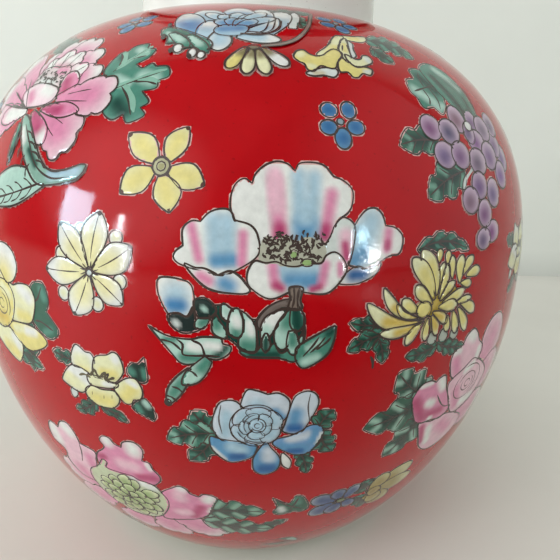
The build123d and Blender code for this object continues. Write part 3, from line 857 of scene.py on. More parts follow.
def low_peony(m):
    for base, tip, width in (((-13, -4), (-30, -7), 14), ((-12, -12), (-26, -22), 14),
            ((-3, -17), (-9, -31), 14), ((5, -16), (6, -30), 13), ((9, -13), (22, -25), 14)):
        m.petal(base, tip, width, PINK, ROSE, 0.5, point=0.1, foot=0.4, widest=0.7, lobes=4, tint=WHITE)
    m.leaf((16, -8), (36, -7), 12, 0.05, 4, linear(62, 112, 92), linear(130, 172, 150))
    m.leaf((17, -14), (37, -19), 12, -0.05, 4, linear(52, 100, 82), linear(130, 172, 150))
    m.shape([(-28, 8), (-28, 13), (-26, 16), (-23, 15, 1), (-21, 18), (-18, 18.6), (-16, 15.6),
        (-15.4, 12, 1), (-10.4, 10.6), (-11, 7), (-12, 3), (-14, -1), (-16, -6), (-22, -6), (-25, 0),
        (-24, 5)], PINK, (WHITE, (-26, 14), (-25, 9), 2.0), (WHITE, (-20, 17), (-18, 15), 2.0),
        (ROSE, (-13.4, 7), (-13.4, 3), 1.8), (ROSE, (-20, -2), (-18, -5), 3.0))
    m.stroke([(-15.6, 12), (-16, 8), (-17.6, 3)], 0.4)
    m.shape([(-10.4, 7), (-9.5, 10.6), (-7, 13), (-6, 14.6), (-7, 16.6), (-5.6, 18.5), (-3.6, 18.5),
        (-2.3, 16.6, 1), (-0.4, 16, 1), (0.4, 18), (2.5, 19), (4.6, 18.7), (6, 16.4), (5, 12.4, 1), (7, 12),
        (7.6, 9.6), (9, 7), (8.4, 4.4), (5, 1.5), (0, 2), (-7, 2.4), (-9.4, 4)], ROSE,
        (WHITE, (-4.7, 17.4), (-4.5, 16.8), 1.9), (WHITE, (3, 17.4), (3.2, 15.6), 2.4),
        (WHITE, (6.2, 11.2), (6.8, 9.4), 0.8), (DEEP_ROSE, (3, 5.2), (7, 5.6), 1.7),
        (DEEP_ROSE, (-8.6, 9.6), (-7.4, 10), 1.3), (PINK, (-1.6, 9), (2, 9), 2.2))
    m.shape([(7.6, -1), (12, 3), (14, 4), (15.6, 3), (16.3, 1, 1), (17, 0.7, 1), (18.6, 0), (20, 1.4),
        (22.4, 1), (23.6, -0.6), (22.4, -3.4), (20, -9.4), (17, -12.6), (12, -15), (5, -17), (6, -10),
        (8, -5)], ROSE, (WHITE, (14, 2.8), (14, 2.2), 1.6), (WHITE, (21.8, -0.4), (21, -1.4), 1.9),
        (WHITE, (21.2, -6), (20.4, -8), 0.8), (DEEP_ROSE, (18.2, -5.8), (15.4, -11.6), 1.5),
        (PINK, (11.4, -10.4), (13.4, -9.8), 1.8), (PINK, (13, 0), (13, -2), 2.0))
    m.shape([(-15, 1), (-11, 4.6), (-8.4, 8.4), (-7, 7.6), (-8, 5), (-5, 4.6), (0, 4.6), (2, 3.4), (6, 2.4),
        (8, -1), (9, -5), (7.6, -10), (4, -16), (-1, -19), (-7, -19), (-12, -15), (-15, -10), (-16.4, -4)],
        linear(190, 200, 164), (WHITE, (0, 3), (6, 1), 1.6))
    boss(m, -3.4, -7, ((4.6, 11.6, 13, 4.4), (2.4, 8, 9, 4.2), (0.4, 4.8, 6, 3.2)), linear(214, 220, 178),
        MOSS)


def side_rose(m):
    for base, tip, bend in (((-12, 1), (-24, 10), 0.08), ((-11, -3), (-21, -19), 0.08),
            ((-11, 0), (-31, -6), 0.04)):
        m.leaf(base, tip, 12, bend, 3, pale=linear(150, 186, 168))
    for base, tip, width in (((14, 4), (20.6, 17.6), 16), ((13, -1), (29.4, -2), 14),
            ((7, -15), (26.4, -14), 13)):
        m.petal(base, tip, width, PINK, ROSE, 0.5, point=0.1, foot=0.5, widest=0.5, tint=WHITE)
    m.shape([(-11.4, -9.4), (-6, -10.4), (0, -10), (6, -12), (11.4, -15.6), (11.6, -20), (6, -23.4),
        (-1, -24), (-6.4, -20.6), (-9.4, -15)], PINK, (DEEP_ROSE, (-9.6, -11.6), (-7, -18), 1.4),
        (WHITE, (-6, -13), (-4.4, -19), 1.3), (ROSE, (0, -14), (4, -17), 2.4))
    m.shape([(-5.4, 8.4), (-4.6, 12), (-1.6, 13), (0, 15.6), (3, 17), (5.4, 15.4), (7.4, 12.4), (10, 10.4),
        (10, 7), (6, 3.6), (-2.4, 3)], PINK, (WHITE, (1.8, 15.4), (3.8, 14.6), 1.9),
        (WHITE, (-3.6, 11.4), (-2.4, 11.6), 1.2), (WHITE, (8.4, 9.8), (8, 7.6), 1.2),
        (ROSE, (-3, 8.6), (-1.4, 5), 1.7))
    m.shape([(-17, 1.6), (-15, 4.5), (-12, 5), (-9.7, 4, 1), (-8.4, 5), (-6, 5), (-4, 0), (0.6, -7.4),
        (-2.4, -10.4), (-7, -9.6), (-11, -9.5), (-14, -7.6), (-17, -1)], ROSE,
        (WHITE, (-15, 3.8), (-11, 4.2), 0.7), (WHITE, (-7.4, 4), (-6, 1.6), 1.7),
        (DEEP_ROSE, (-15.6, -1), (-11.4, -7.4), 1.9), (DEEP_ROSE, (-9, -7), (-4, -7), 1.5),
        (WHITE, (-10.4, -2.6), (-9, -3), 1.5), (WHITE, (-8, -8.8), (-7.4, -8.8), 0.8))
    m.stroke([(-7.8, -0.6), (-5, -4.2), (-2.6, -6.2), (-0.4, -6.8)], 0.45)
    m.shape([(-2.6, 3), (2, 5), (6, 7), (10, 5.6), (15, 2.6), (18.6, -1.6), (17, -6.6), (11.6, -10),
        (6, -11.4), (1.6, -9.4), (-3.6, 0)], PINK, (ROSE, (1, -2), (3.4, -7.6), 1.8),
        (WHITE, (7, -8), (12, -8), 1.6), (WHITE, (3.4, 4), (7, 5.2), 1.2))
    arcs = ((1.3, 0, 300), (2.6, 150, 260), (4, -70, 230), (5.4, 130, 220), (6.6, -60, 170))
    m.spiral(6.8, -1.2, arcs, 0.34, linear(104, 72, 76), 1.15, 0.95, 0.1)


def high_peony(m):
    m.leaf((-5, 16), (-25, 24), 10, 0.05, 4)
    for base, tip, width in (((-12, 2), (-30, 14), 12), ((-14, -2), (-33, 2), 12),
            ((-12, -5), (-29, -10), 11)):
        m.petal(base, tip, width, PINK, ROSE, 0.5, point=0.1, foot=0.35, widest=0.7, lobes=3, tint=WHITE)
    m.petal((-9, -5), (-24, -7), 6, PINK, WHITE, 0.6, point=0.3, lobes=2)
    m.shape([(13, 13.6), (14.6, 14, 1), (15.6, 16.4), (18.6, 17.3), (19.6, 15.4, 1), (22, 15), (22, 12),
        (20, 9.6, 1), (22.4, 8.4), (24, 10), (25.6, 9, 1), (28.6, 9), (30.4, 6), (28.4, 4.6, 1), (29, 2.4),
        (26, 1.4, 1), (29, -1.4), (27.6, -3, 1), (29.4, -5), (26, -7), (24, -5, 1), (21.6, -6.4),
        (18.4, -4.6), (18, -2.4, 1), (16, -1), (16.6, 3), (13.6, 5.4), (12, 8)], TEAL,
        (MINT, (24, 5.8), (27, 4.8), 1.8), (MINT, (17, 5), (21, 3.4), 1.3),
        (DEEP_TEAL, (21, -2), (24, -4.4), 1.8), (DEEP_TEAL, (14.6, 12), (16, 11), 1.0),
        (MINT, (17.6, 15), (20, 13.6), 1.0))
    for start, end in (((17, 1), (28.4, 7.4)), ((20, 2.6), (26, -5)), ((15, 7), (20, 15.6)),
            ((15.6, 9), (13.4, 13.4)), ((22.4, 4), (28.6, 3.4)), ((17.4, 11), (21, 12.6))):
        path = [start, ((start[0] + end[0]) / 2 + 0.4, (start[1] + end[1]) / 2 + 0.4), end]
        m.stroke([(x + 0.5, y + 0.7) for x, y in path], 1.3, linear(132, 178, 158))
        m.stroke(path, 0.5)
    outer = (((-15, 15), 9, 3), ((-9, 21), 11, 4), ((-1, 21.6), 11, 4), ((6.4, 15.4), 9, 3),
        ((11.4, 8), 8, 3))
    inner = (((-12, 12.4), 7, 3), ((-6.6, 16), 8, 3), ((-0.6, 15), 7.4, 3), ((5.6, 9.6), 7, 3))
    for ring, core, reach, veins in ((outer, ROSE, 0.62, ()), (inner, DEEP_ROSE, 0.4, ((0, 0.5, 0.95),))):
        for tip, width, lobes in ring:
            m.petal((-4, 1), tip, width, PINK, core, reach, point=0.05, foot=0.3, widest=0.74, lobes=lobes,
                tint=WHITE, line=0.34, veins=veins)
    m.shape([(-13, 3), (-12.6, 7.6), (-9, 9.4), (-4.6, 9), (-1, 9.4), (1, 6.6), (1, 3), (-2, 0), (-8, 0)],
        linear(206, 190, 190), (ROSE, (-4, 7.6), (-1.6, 7.4), 1.4), (PALE, (-9, 4), (-4, 3.6), 1.6),
        line=0.3)
    m.shape([(0, 5.6), (2.6, 7.4), (5.4, 5.6), (6.4, 3), (4.4, 0), (1.4, -1)], ROSE,
        (DEEP_ROSE, (2, 4), (3.2, 1.4), 1.7))
    for base, tip, width, lobes in (((1.6, -1.2), (19.4, 0.6), 12, 4), ((-2, -4.6), (13.4, -13), 13, 5)):
        m.petal(base, tip, width, PINK, ROSE, 0.62, point=0.05, foot=0.15, widest=0.78, lobes=lobes,
            tint=WHITE, line=0.4, veins=((0.3, 0.2, 0.6), (-0.3, 0.2, 0.6)))
    m.petal((-2.6, -4.2), (11.4, -4.4), 4.4, ROSE, DEEP_ROSE, 0.5, point=0.5, line=0.4)
    m.petal((-5.4, -5), (3.6, -13.2), 5.6, ROSE, DEEP_ROSE, 0.5, point=0.4, widest=0.7, tint=WHITE,
        line=0.4)
    m.squiggles(((-12, 3), (0, 8)), 44, 0.55, length=1.3)
    m.shape([(-15, 0), (-13, 2.6), (-8, 3.6), (0, 2), (1, -0.6), (-1.6, -3), (-9.4, -4), (-13, -2.6)],
        linear(232, 208, 214), (ROSE, (-10.6, 0), (-9, -1.6), 1.5), (WHITE, (-5, 1.4), (-1.6, 0.6), 1.7))
    for middle, end in (((-16, -1.4), (-22, 1)), ((-17, -3.8), (-26, -3)), ((-13, 0.6), (-16, 5))):
        m.stroke([(-9.4, -4.2), middle, end], 0.42)
    m.petal((-9, -8.4), (-9.6, -19.6), 2.4, DEEP_TEAL, TEAL, point=0.9, foot=0.7, line=0.4)
    m.petal((7, -22.4), (-20, -30), 10, MINT, bend=-0.05, point=0.8, foot=0.2, widest=0.45, line=0.46)
    m.stroke([(7, -22.4), (-4, -26), (-18, -29.6)], 0.5)
    for k in range(6):
        x = 3.4 - 3.6 * k
        run = x - 3
        start = (x, -23.8 + 0.28 * run)
        m.strokes(0.36, [start, (x - 2.4, -22.6 + 0.3 * run), (x - 4, -22.2 + 0.36 * run)],
            [start, (x - 1.8, -26.2 + 0.28 * run), (x - 4.4, -27.6 + 0.2 * run)])
    m.shape([(-9, -6.6), (-5, -7.4), (4.4, -17), (8.6, -19.4), (13, -19), (17.6, -17.4), (19, -18),
        (17, -21), (11, -22.6), (5, -23), (0, -19.6), (-5, -14)], linear(132, 170, 154),
        (WHITE, (-6.6, -10.4), (-4.6, -13), 1.2), (SKY, (9, -20.4), (16.6, -19), 1.4),
        (DEEP_TEAL, (-1, -15), (3, -18.6), 0.9), line=0.5)
    m.stroke([(-6, -8.6), (-1.6, -13.4), (3, -18.6), (9, -21.2), (15, -20.6)], 0.45)
    for x, y in ((-4.6, -10.4), (-2.4, -13), (0, -15.4), (2.6, -17.4)):
        m.strokes(0.5, [(x, y), (x + 2.2, y - 0.4), (x + 4, y - 1.8)],
            [(x - 2, y - 1), (x - 3, y - 2.6), (x - 2.6, y - 4.4)])


def blue_peony(m):
    m.leaf((6, 14), (19, 19), 9, 0.08, 3)
    m.leaf((13, 15), (16.6, 5.6), 5.4, 0.06, 2, veins=2)
    pale = linear(178, 198, 208)
    for x in (7.4, 14.2):
        m.petal((x, 5), (x, 18), 3.4, WHITE, PALE, point=0.3, foot=0.6)
    for base, tip, width, core in (((6, 0), (11.4, 17.4), 9, SKY), ((5.4, 4), (5.6, 19), 7, BLUE),
                                   ((0.4, 5), (-0.6, 19.4), 9, BLUE), ((-6, 6), (-9.6, 16.4), 9, SKY),
                                   ((-10, -1), (-13.8, 13), 8, BLUE), ((-7, -3.4), (-6.6, 7.6), 5.4, SKY)):
        m.petal(base, tip, width, pale, core, 0.45, point=0.1, foot=0.6, widest=0.5, tint=WHITE)
    for base, tip, width, bend in (((1, 1), (10, 11), 5, -0.2), ((1, 0), (11.6, -1.6), 5, 0),
                                   ((-3, 1), (-3, -7), 6, 0)):
        m.petal(base, tip, width, WHITE, SKY, 0.5, bend, point=0.2, foot=0.6, widest=0.5, line=0.5)
    outer = (((-8.6, 13.4), 4), ((-4.6, 12), 4), ((-0.6, 14), 4.2), ((3.2, 12.6), 4), ((6.4, 15), 4),
        ((9.4, 11), 4))
    inner = (((-5.4, 8), 3.6), ((-2, 9.4), 3.6), ((1.6, 9), 3.6), ((4.8, 8.6), 3.6))
    for ring, base, colour, core, reach, tint in ((outer, (0.4, 4.6), pale, SKY, 0.7, WHITE),
            (inner, (0, 3), SKY, BLUE, 0.6, pale)):
        for tip, width in ring:
            m.petal(base, tip, width, colour, core, reach, point=0.1, foot=0.3, widest=0.72, tint=tint,
                line=0.34)
    m.shape([(-5, 1.4), (-3.6, 4.4), (2.6, 4.6), (3.4, 2.4), (1.6, -0.4), (-3, -0.6)], SKY,
        (BLUE, (-3, 2.2), (1.4, 3.2), 1.7), line=0.34)
    for reach in (6.4, 8, 9.6):
        m.stroke([(1.6, 1.2 - 0.1 * reach), (0.6 * reach + 1, 0.4 - 0.16 * reach + 1.4), (reach + 1, 3),
            (reach + 1.6, 9)], 0.36)
    m.shape([(-18.4, 2), (-18, -1.6, 1), (-16.4, -1.4), (-16, -5, 1), (-14, -4.6), (-12.6, -7.4, 1),
        (-9, -6), (-6.4, -8, 1), (-4.4, -5), (-7, -1.6), (-15.6, 3)], TEAL,
        (DEEP_TEAL, (-15, 0), (-9, -3), 1.3), (MINT, (-16.4, 0), (-15, -3), 0.7))
    m.petal((-15.4, 0), (-10, -6.2), 3.4, TEAL, MINT, point=0.4, foot=0.6)
    m.petal((-10.8, -1), (-5, -8), 3.2, TEAL, MINT, point=0.4, foot=0.6)
    for x, y, w, h in ((-12.6, -6.6, 2.6, 3.6), (-8.8, -8.3, 2.2, 3.4), (-6.6, -9, 2, 2.8)):
        m.blob(x, y, w, h, WHITE, line=0.46)
    m.strokes(1.1, [(-17.4, -0.6), (-17.2, -3.2)], [(-14.4, -6.6), (-14.2, -8.6)],
        [(-9.8, -8.4), (-9, -10.6)], [(-17, 5.4), (-16.8, 3)])
    m.stroke([(18.8, 17), (18.4, 9), (17.4, 3.6), (15.2, -1), (11.6, -3.6), (7, -4.8)], 1.1,
        linear(136, 118, 108))
    m.strokes(0.34, [(19.2, 17), (18.8, 9), (17.8, 3.4), (15.6, -1.4), (11.9, -4.1), (7, -5.2)],
        [(18.3, 17), (17.9, 9), (16.9, 3.8), (14.8, -0.6), (11.3, -3.2), (7, -4.4)])
    for base, tip, colour in (((3.6, -5.6), (0, -13.2), YELLOW), ((5, -5.8), (4.4, -14.8), CREAM),
            ((6.2, -5.8), (9.2, -14.6), CREAM), ((7.4, -5.6), (13.8, -11.6), WHITE)):
        m.petal(base, tip, 3.3, colour, linear(130, 120, 84), 0.28, point=0.15, foot=0.3, widest=0.72,
            line=0.5)
    m.blob(5.4, -5.6, 3, 1.8, linear(120, 112, 92), line=0.4)


def cloud_fungus(m):
    m.leaf((11.4, 10), (26, 3.6), 9.6, 0.12, 4)
    m.leaf((12, 6.4), (17, -0.2), 5.4, -0.05, 2, veins=2)
    m.shape([(3.4, 9), (9, 8), (12, 9.6), (12, 11.6), (8, 11), (4.6, 10.6)], CREAM,
        (YELLOW, (7, 9.4), (9, 9.6), 0.9))
    m.shape([(4.6, 1), (6, 1.4), (6, 4), (6.6, 7), (5, 8)], PALE, line=0.4)
    m.shape([(-4.6, 0.6), (-1, 4.6), (2.6, 10), (5, 10), (3.4, 7), (2, 4), (1.4, 1.4), (-1, -0.6)], CREAM,
        (YELLOW, (-1, 1.4), (1, 4), 1.4))
    m.shape([(2, 1), (2, 4), (3.6, 8), (5.4, 9), (5, 5.4), (4, -0.6), (2.6, -1.4)], CREAM,
        (YELLOW, (3.4, 3), (4, 6), 0.8))
    m.shape([(-4, -4), (-2.4, -4), (-1, -4), (-0.6, -5.4), (-2, -7), (-4.4, -6.6), (-7, -7), (-8.6, -6)],
        PALE, (linear(196, 186, 156), (-6.4, -6), (-4.6, -6), 0.8), line=0.5)
    m.shape([(0, -2.4), (0, -5), (2, -5), (3, -6.5), (4.4, -6.4), (6, -5), (8, -5.4), (9, -3.4), (7, -2.6),
        (4.6, -2.6), (1.6, 0)], YELLOW, (PALE, (7, -4.4), (8.2, -4), 0.8), line=0.5)
    m.shape([(3, -0.6), (5, -3), (9.6, -1), (10, 1), (9, 2), (7.6, 1.6), (7, 0.4), (5.4, 0), (3, 1.6)],
        CREAM, (PALE, (8.6, 1), (9, -0.4), 0.9), line=0.5)
    m.shape([(-10.5, -1), (-10, 0.5), (-9, 1.7), (-7.5, 2), (-6.5, 0.7), (-5, 0), (-3, 0.6), (-1.6, 2),
        (0.4, 3.4), (2, 2.4), (2, 1), (0, -2), (-0.7, -3.6), (-2, -4.3), (-4.4, -3.4), (-6.6, -5.5),
        (-8, -5), (-8.5, -3), (-9.4, -2.6)], YELLOW, (CREAM, (-9, 0), (-8.4, 0.6), 1.0),
        (CREAM, (-7, -3.8), (-6.4, -4), 0.9), line=0.44)
    m.strokes(0.4, [(1.4, 3.4), (2.6, 6)], [(2.6, 3), (3.4, 5.6)], [(-0.6, 5), (0.6, 6.6)])


def side_flower(m):
    m.leaf((4, -3), (3, -19.6), 8, 0.0, 3)
    m.leaf((-8, -14), (8, -17.4), 6, 0.05, 3)
    m.shape([(6.4, 5), (10, 7), (12, 6), (13, 2.4), (12, -0.4, 1), (15.6, -4.4), (14.6, -6.6), (12, -7.6),
        (8.4, -6), (6, -3)], LEAF, (TEAL, (11.4, 3), (10.4, 5), 1.0), (TEAL, (13, -5), (11, -6), 0.9))
    m.strokes(0.5, [(6.8, 1), (9, 2.4), (10.6, 5.6)], [(7.4, -3.6), (10, -3.6), (13.8, -5)])
    m.blob(-5.4, 9, 13, 10.6, WHITE, YELLOW, (0, -3.4), 0.4)
    m.petal((-5, 1), (-17.6, 6), 10, WHITE, YELLOW, 0.4, point=0.1, foot=0.5)
    m.petal((-7, -4), (-20, -8), 11, WHITE, YELLOW, 0.4, point=0.1, foot=0.5)
    m.shape([(-14.6, -10), (-10, -9), (-5, -9), (-1, -10.6), (0, -13), (-1.6, -16.6), (-5, -18.6),
        (-14, -14.4)], CREAM, (YELLOW, (-9, -15), (-4, -16), 2.0), (WHITE, (-4, -11), (-2, -13), 1.4))
    m.shape([(-5.4, -8.4), (-3, -6.4), (6, -5.7), (11, -8.6), (8, -11.5), (2, -13)], YELLOW,
        (WHITE, (3, -7.4), (6.4, -7), 1.3), (CREAM, (-2, -8), (1, -7.4), 1.2))
    m.shape([(-3.4, 3.6), (-1, 4), (2, 5), (6, 5), (8, 2), (7, -2.5), (5, -5), (-1, -6), (-4.4, -5)], CREAM,
        (WHITE, (2, 4), (5.6, 2), 1.8), (YELLOW, (1, -3.6), (4.6, -3.6), 1.6))
    m.shape([(-12, 3), (-7, 4.6), (-3, 3.6), (-1, 0.4), (-2, -4), (-4.4, -7.4), (-9, -9.6), (-13.6, -8.4),
        (-15.6, -3)], YELLOW, (CREAM, (-7, 2.6), (-3.6, 1), 1.4), (GOLD, (-11, -6.6), (-6.6, -6.4), 1.8))
    m.spiral(-8, -2.4, ((1.4, 20, 300), (3, 200, 240), (4.4, -40, 200)), 0.4, linear(110, 104, 76))


def low_garland(m):
    m.leaf((-22, -14), (-15.4, -9.4), 5, 0, 2, veins=2)
    m.shape([(-22, 4, 1), (-17, 0.6), (-15.6, 4), (-13.4, 3.6), (-10.6, -2), (-11.6, -5), (-15, -5),
        (-18.4, -6), (-20.6, -4), (-20, -1)], LEAF, (PALE, (-18.8, -2), (-18, -3.6), 1.1),
        (TEAL, (-15, 2.4), (-14, 0), 1.0))
    m.strokes(0.5, [(-21, 3), (-17, -0.6), (-12, -3.6)], [(-14.6, 3), (-15, 0), (-16, -5)])
    m.leaf((4, -3), (9, -12), 6, 0.1, 3)
    m.leaf((3.6, -1), (8.6, 5), 6, 0.1, 2, veins=2)
    for base, tip, width in (((8, -2.6), (22.6, 6.4), 8), ((9, -4), (25, -1), 8), ((8, -4), (18, -11), 8),
            ((9, -2), (13, 6), 6.4), ((10, -2.6), (13, -10), 6)):
        m.petal(base, tip, width, linear(176, 168, 112), linear(158, 140, 72), 0.5, point=0.15, foot=0.4,
            tint=linear(196, 192, 144))
    m.blob(10.6, -2.6, 5.2, 5, linear(176, 168, 112), linear(150, 130, 70))
    for base, tip, width in (((-2.4, -2), (-10.4, 1), 6), ((-2.6, -3.4), (-9, -8.6), 6.4),
            ((-1.4, -3.6), (-3, -9.6), 5.4), ((-1, -1), (-3.6, 3.6), 5), ((0, -1.4), (3.4, 4.6), 4.4),
            ((0.4, -3), (4, -7), 4.4)):
        m.petal(base, tip, width, linear(136, 150, 172), linear(58, 80, 124), 0.6, point=0.2, foot=0.4,
            tint=linear(176, 184, 190))
    m.blob(-0.8, -2.4, 3, 2.6, DEEP_TEAL, linear(120, 130, 92))


def hatched_leaf(m):
    m.shape([(-13.6, 1), (-12.6, 4.6), (-9.6, 5.4, 1), (-9, 8.4), (-5.6, 9.4), (-2.6, 8, 1), (-1, 3),
        (-2.6, -3, 1), (-5.6, -5.6), (-8, -3.6, 1), (-11.6, -4), (-12.4, -1, 1)], TEAL,
        (MINT, (-11.6, 1.4), (-7, -2), 1.6), (DEEP_TEAL, (-7, 6), (-4, 2), 1.8),
        (MINT, (-6, -3.6), (-4, -3), 1.1))
    m.stroke([(-12, 1), (-7, 2.6), (-2, 4)], 0.5)
    m.strokes(0.45, [(-8.6, 2), (-8, -1), (-9, -3)], [(-6, 3), (-5, -1), (-5.6, -4)],
        [(-7.6, 2.4), (-7.4, 5.4), (-6, 8)])
    m.shape([(-4.4, 9), (-1, 12), (3.6, 12.4), (8, 10), (11, 5), (12, -2), (10.4, -9), (7.4, -14),
        (4.6, -16, 1), (3.6, -10), (1, -4), (-3, 2)], TEAL, (DEEP_TEAL, (-1, 7), (5, -6), 1.1),
        (MINT, (3, 10), (9, 4), 1.4), (LEAF, (8.6, 0), (8, -8), 1.2))
    for k in range(13):
        x = -3 + 1.1 * k
        m.stroke([(x, 8.8 + 0.17 * k - 0.036 * k * k), (x + 3, 1.5), (0.4 * x + 5.6, -8 - 0.22 * k)], 0.3)


def sprig(m):
    m.petal((0, -4), (-1.6, 6), 3.4, LEAF, TEAL, 0.5, bend=0.12, point=0.9)
    m.petal((0.4, -4), (4.4, 2.4), 2.8, TEAL, MINT, 0.5, bend=-0.1, point=0.9)
    m.stroke([(0, -6), (0.2, -2), (-1, 4.4)], 0.45)


# ---------------------------------------------------------------------------------------------
# Turned surfaces as lathe meshes
# ---------------------------------------------------------------------------------------------
AROUND = 384  # points round a ring
COAT = 0.35
COLLAR_MARGIN = 1.8  # bare glaze between the red coat's edge and the collar
CROWN_GAP = 0.02  # keeps the lid coat's ring from closing to a point on the axis


def lathe(name, outline, material, body, replaced):
    """A closed ring-shaped or solid mesh turned from a closed outline of (r, z) points."""
    angle = np.linspace(0, 2 * math.pi, AROUND, endpoint=False)
    outline = np.array(outline)
    count = len(outline)
    r, z = outline[:, 0, None], outline[:, 1, None]
    places = np.stack([r * np.sin(angle), -r * np.cos(angle), z + 0 * angle], -1).reshape(-1, 3) * MM
    faces = []
    for i in range(count):
        j = (i + 1) % count
        for k in range(AROUND):
            n = (k + 1) % AROUND
            faces.append((i * AROUND + k, i * AROUND + n, j * AROUND + n, j * AROUND + k))
    mesh = bpy.data.meshes.new(name)
    mesh.from_pydata(places.tolist(), [], faces)
    mesh.validate()
    mesh.materials.append(material)
    piece = bpy.data.objects.new(name, mesh)
    bpy.context.scene.collection.objects.link(piece)
    mesh.polygons.foreach_set("use_smooth", [True] * len(mesh.polygons))
    mesh.set_sharp_from_angle(angle=math.radians(35))
    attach(piece, body)
    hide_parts(replaced)
    return piece


def profile_between(surface, low, high, step, lift=0.0):
    """(r, z) points of a turned surface between two levels, moved outwards by lift."""
    levels = np.linspace(low, high, max(2, round((high - low) / step)))
    points = surface.at(np.zeros(len(levels)), levels, lift)
    return [(-y, z) for _, y, z in points.tolist()]


def level_at_height(surface, z):
    return float(np.interp(z, surface.z, surface.level))


def red_coat():
    low = level_at_height(JAR, GROUND_LOW[2])
    high = float(np.interp(-(NECK_RADIUS + COLLAR_MARGIN), -JAR.r[JAR.level > 0], JAR.level[JAR.level > 0]))
    outside = profile_between(JAR, low, high, 1.2)
    inside = profile_between(JAR, low, high, 3.0, -COAT)
    return lathe("red_coat", outside + inside[::-1], RED_GLAZE, "jar", "red_ground")


def lid_coat():
    top = float(LID.level[-1]) - CROWN_GAP
    outside = profile_between(LID, 0.0, top, 0.6)
    inside = profile_between(LID, 0.0, top, 2.0, -COAT)
    return lathe("lid_red_coat", outside + inside[::-1], RED_GLAZE, "lid", "lid_red_ground")


red_coat()
lid_coat()
for node, material in (("lower_body", PALE_GLAZE), ("upper_body", PALE_GLAZE), ("neck_collar", PALE_GLAZE),
                       ("foot_ring", BARE_CLAY), ("lid_shell", PALE_GLAZE)):
    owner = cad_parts[node]
    owner.data.materials.clear()
    owner.data.materials.append(material)

DRAWINGS = (
    ("lotus", lotus, 4.6, 26.8, "white_enamel"),
    ("lotus_bud_and_stalks", bud_and_stalks, 0, 4, "green_enamel"),
    ("blue_rose", blue_rose, 1.2, -18.8, "blue_enamel"),
    ("star_flower", star_flower, -12.6, 41.5, "yellow_enamel"),
    ("striped_lily", striped_lily, -22, 16.8, "white_enamel"),
    ("chrysanthemum", chrysanthemum, 24.6, 9.2, "yellow_enamel"),
    ("camellia", camellia, -21.4, -9, "yellow_enamel"),
    ("grapes", grapes, 32.6, 37.2, "white_enamel"),
    ("small_blue_flower", small_blue, 12.4, 54, "blue_enamel"),
    ("low_peony", low_peony, -20, -47.5, "pink_enamel"),
    ("side_rose", side_rose, 35.4, -17.2, "pink_enamel"),
    ("high_peony", high_peony, -35.4, 58.2, "pink_enamel"),
    ("blue_peony", blue_peony, -5, 80, "blue_enamel"),
    ("cloud_fungus", cloud_fungus, 14, 73, "yellow_enamel"),
    ("side_flower", side_flower, -37, 5, "yellow_enamel"),
    ("low_garland", low_garland, 18, -51.2, "blue_enamel"),
    ("hatched_leaf", hatched_leaf, 36.4, 62.8, "green_enamel"),
    ("high_blue_flower", small_blue, -30.2, 88, "blue_enamel"),
    ("right_blue_flower", small_blue, 19.8, 92, "blue_enamel"),
    ("right_camellia", camellia, 54.5, 19, "yellow_enamel"),
)
COOL = {PINK: linear(190, 206, 220), ROSE: SKY, DEEP_ROSE: BLUE}
WARM = {SKY: PINK, BLUE: ROSE, DEEP_BLUE: DEEP_ROSE, GOLD: ROSE, CREAM: WHITE, YELLOW: PINK}
SIDES = (("", 0, 1, None), ("second_", 120, -1, WARM), ("third_", 240, 1, COOL))
ONLY_IN_FRONT = ("right_camellia",)

# Smaller groups that fill the gaps between the three sides.
FILLERS = (
    ("gap_lily", striped_lily, (180, 297), 12, 0.9, "white_enamel"),
    ("gap_blue_flower", small_blue, (66, 180, 300), 52, 1.0, "blue_enamel"),
    ("gap_star", star_flower, (63, 180, 298), -22, 0.95, "yellow_enamel"),
    ("gap_camellia", camellia, (60, 180, 300), -56, 0.9, "yellow_enamel"),
    ("gap_high_flower", small_blue, (60, 95, 180, 215, 262, 300), 89, 0.9, "blue_enamel"),
)
FOOT_SPRIGS, FOOT_START, FOOT_LEVEL = 9, 9, -84


def paint(name, draw, angle, level, slot, **how):
    motif = Motif(name, angle, level, slot, **how)
    draw(motif)
    motif.finish()


for prefix, middle, flip, swap in SIDES:
    for name, draw, angle, level, slot in DRAWINGS:
        if prefix and name in ONLY_IN_FRONT:
            continue
        paint(prefix + name, draw, middle + flip * angle, level, slot, flip=flip, swap=swap)
for name, draw, angles, level, size, slot in FILLERS:
    for number, angle in enumerate(angles, 1):
        paint(f"{name}_{number}", draw, angle, level, slot, size=size, turn=40 * number)
for number in range(FOOT_SPRIGS):
    angle = FOOT_START + 360 * number / FOOT_SPRIGS
    paint(f"foot_sprig_{number + 1}", sprig, angle, FOOT_LEVEL, "green_enamel", turn=80, size=1.2,
        flip=(-1) ** number)

CROWN_RING = (
    (camellia, 0.8, "yellow_enamel", None),
    (small_blue, 1.0, "blue_enamel", None),
    (striped_lily, 0.8, "white_enamel", None),
    (camellia, 0.8, "pink_enamel", WARM),
    (small_blue, 1.0, "blue_enamel", None),
    (chrysanthemum, 0.62, "yellow_enamel", None),
)
CROWN_REACH, CROWN_START = 31.0, 12
SKIRT_FLOWERS, SKIRT_LEVEL = 8, 6.8


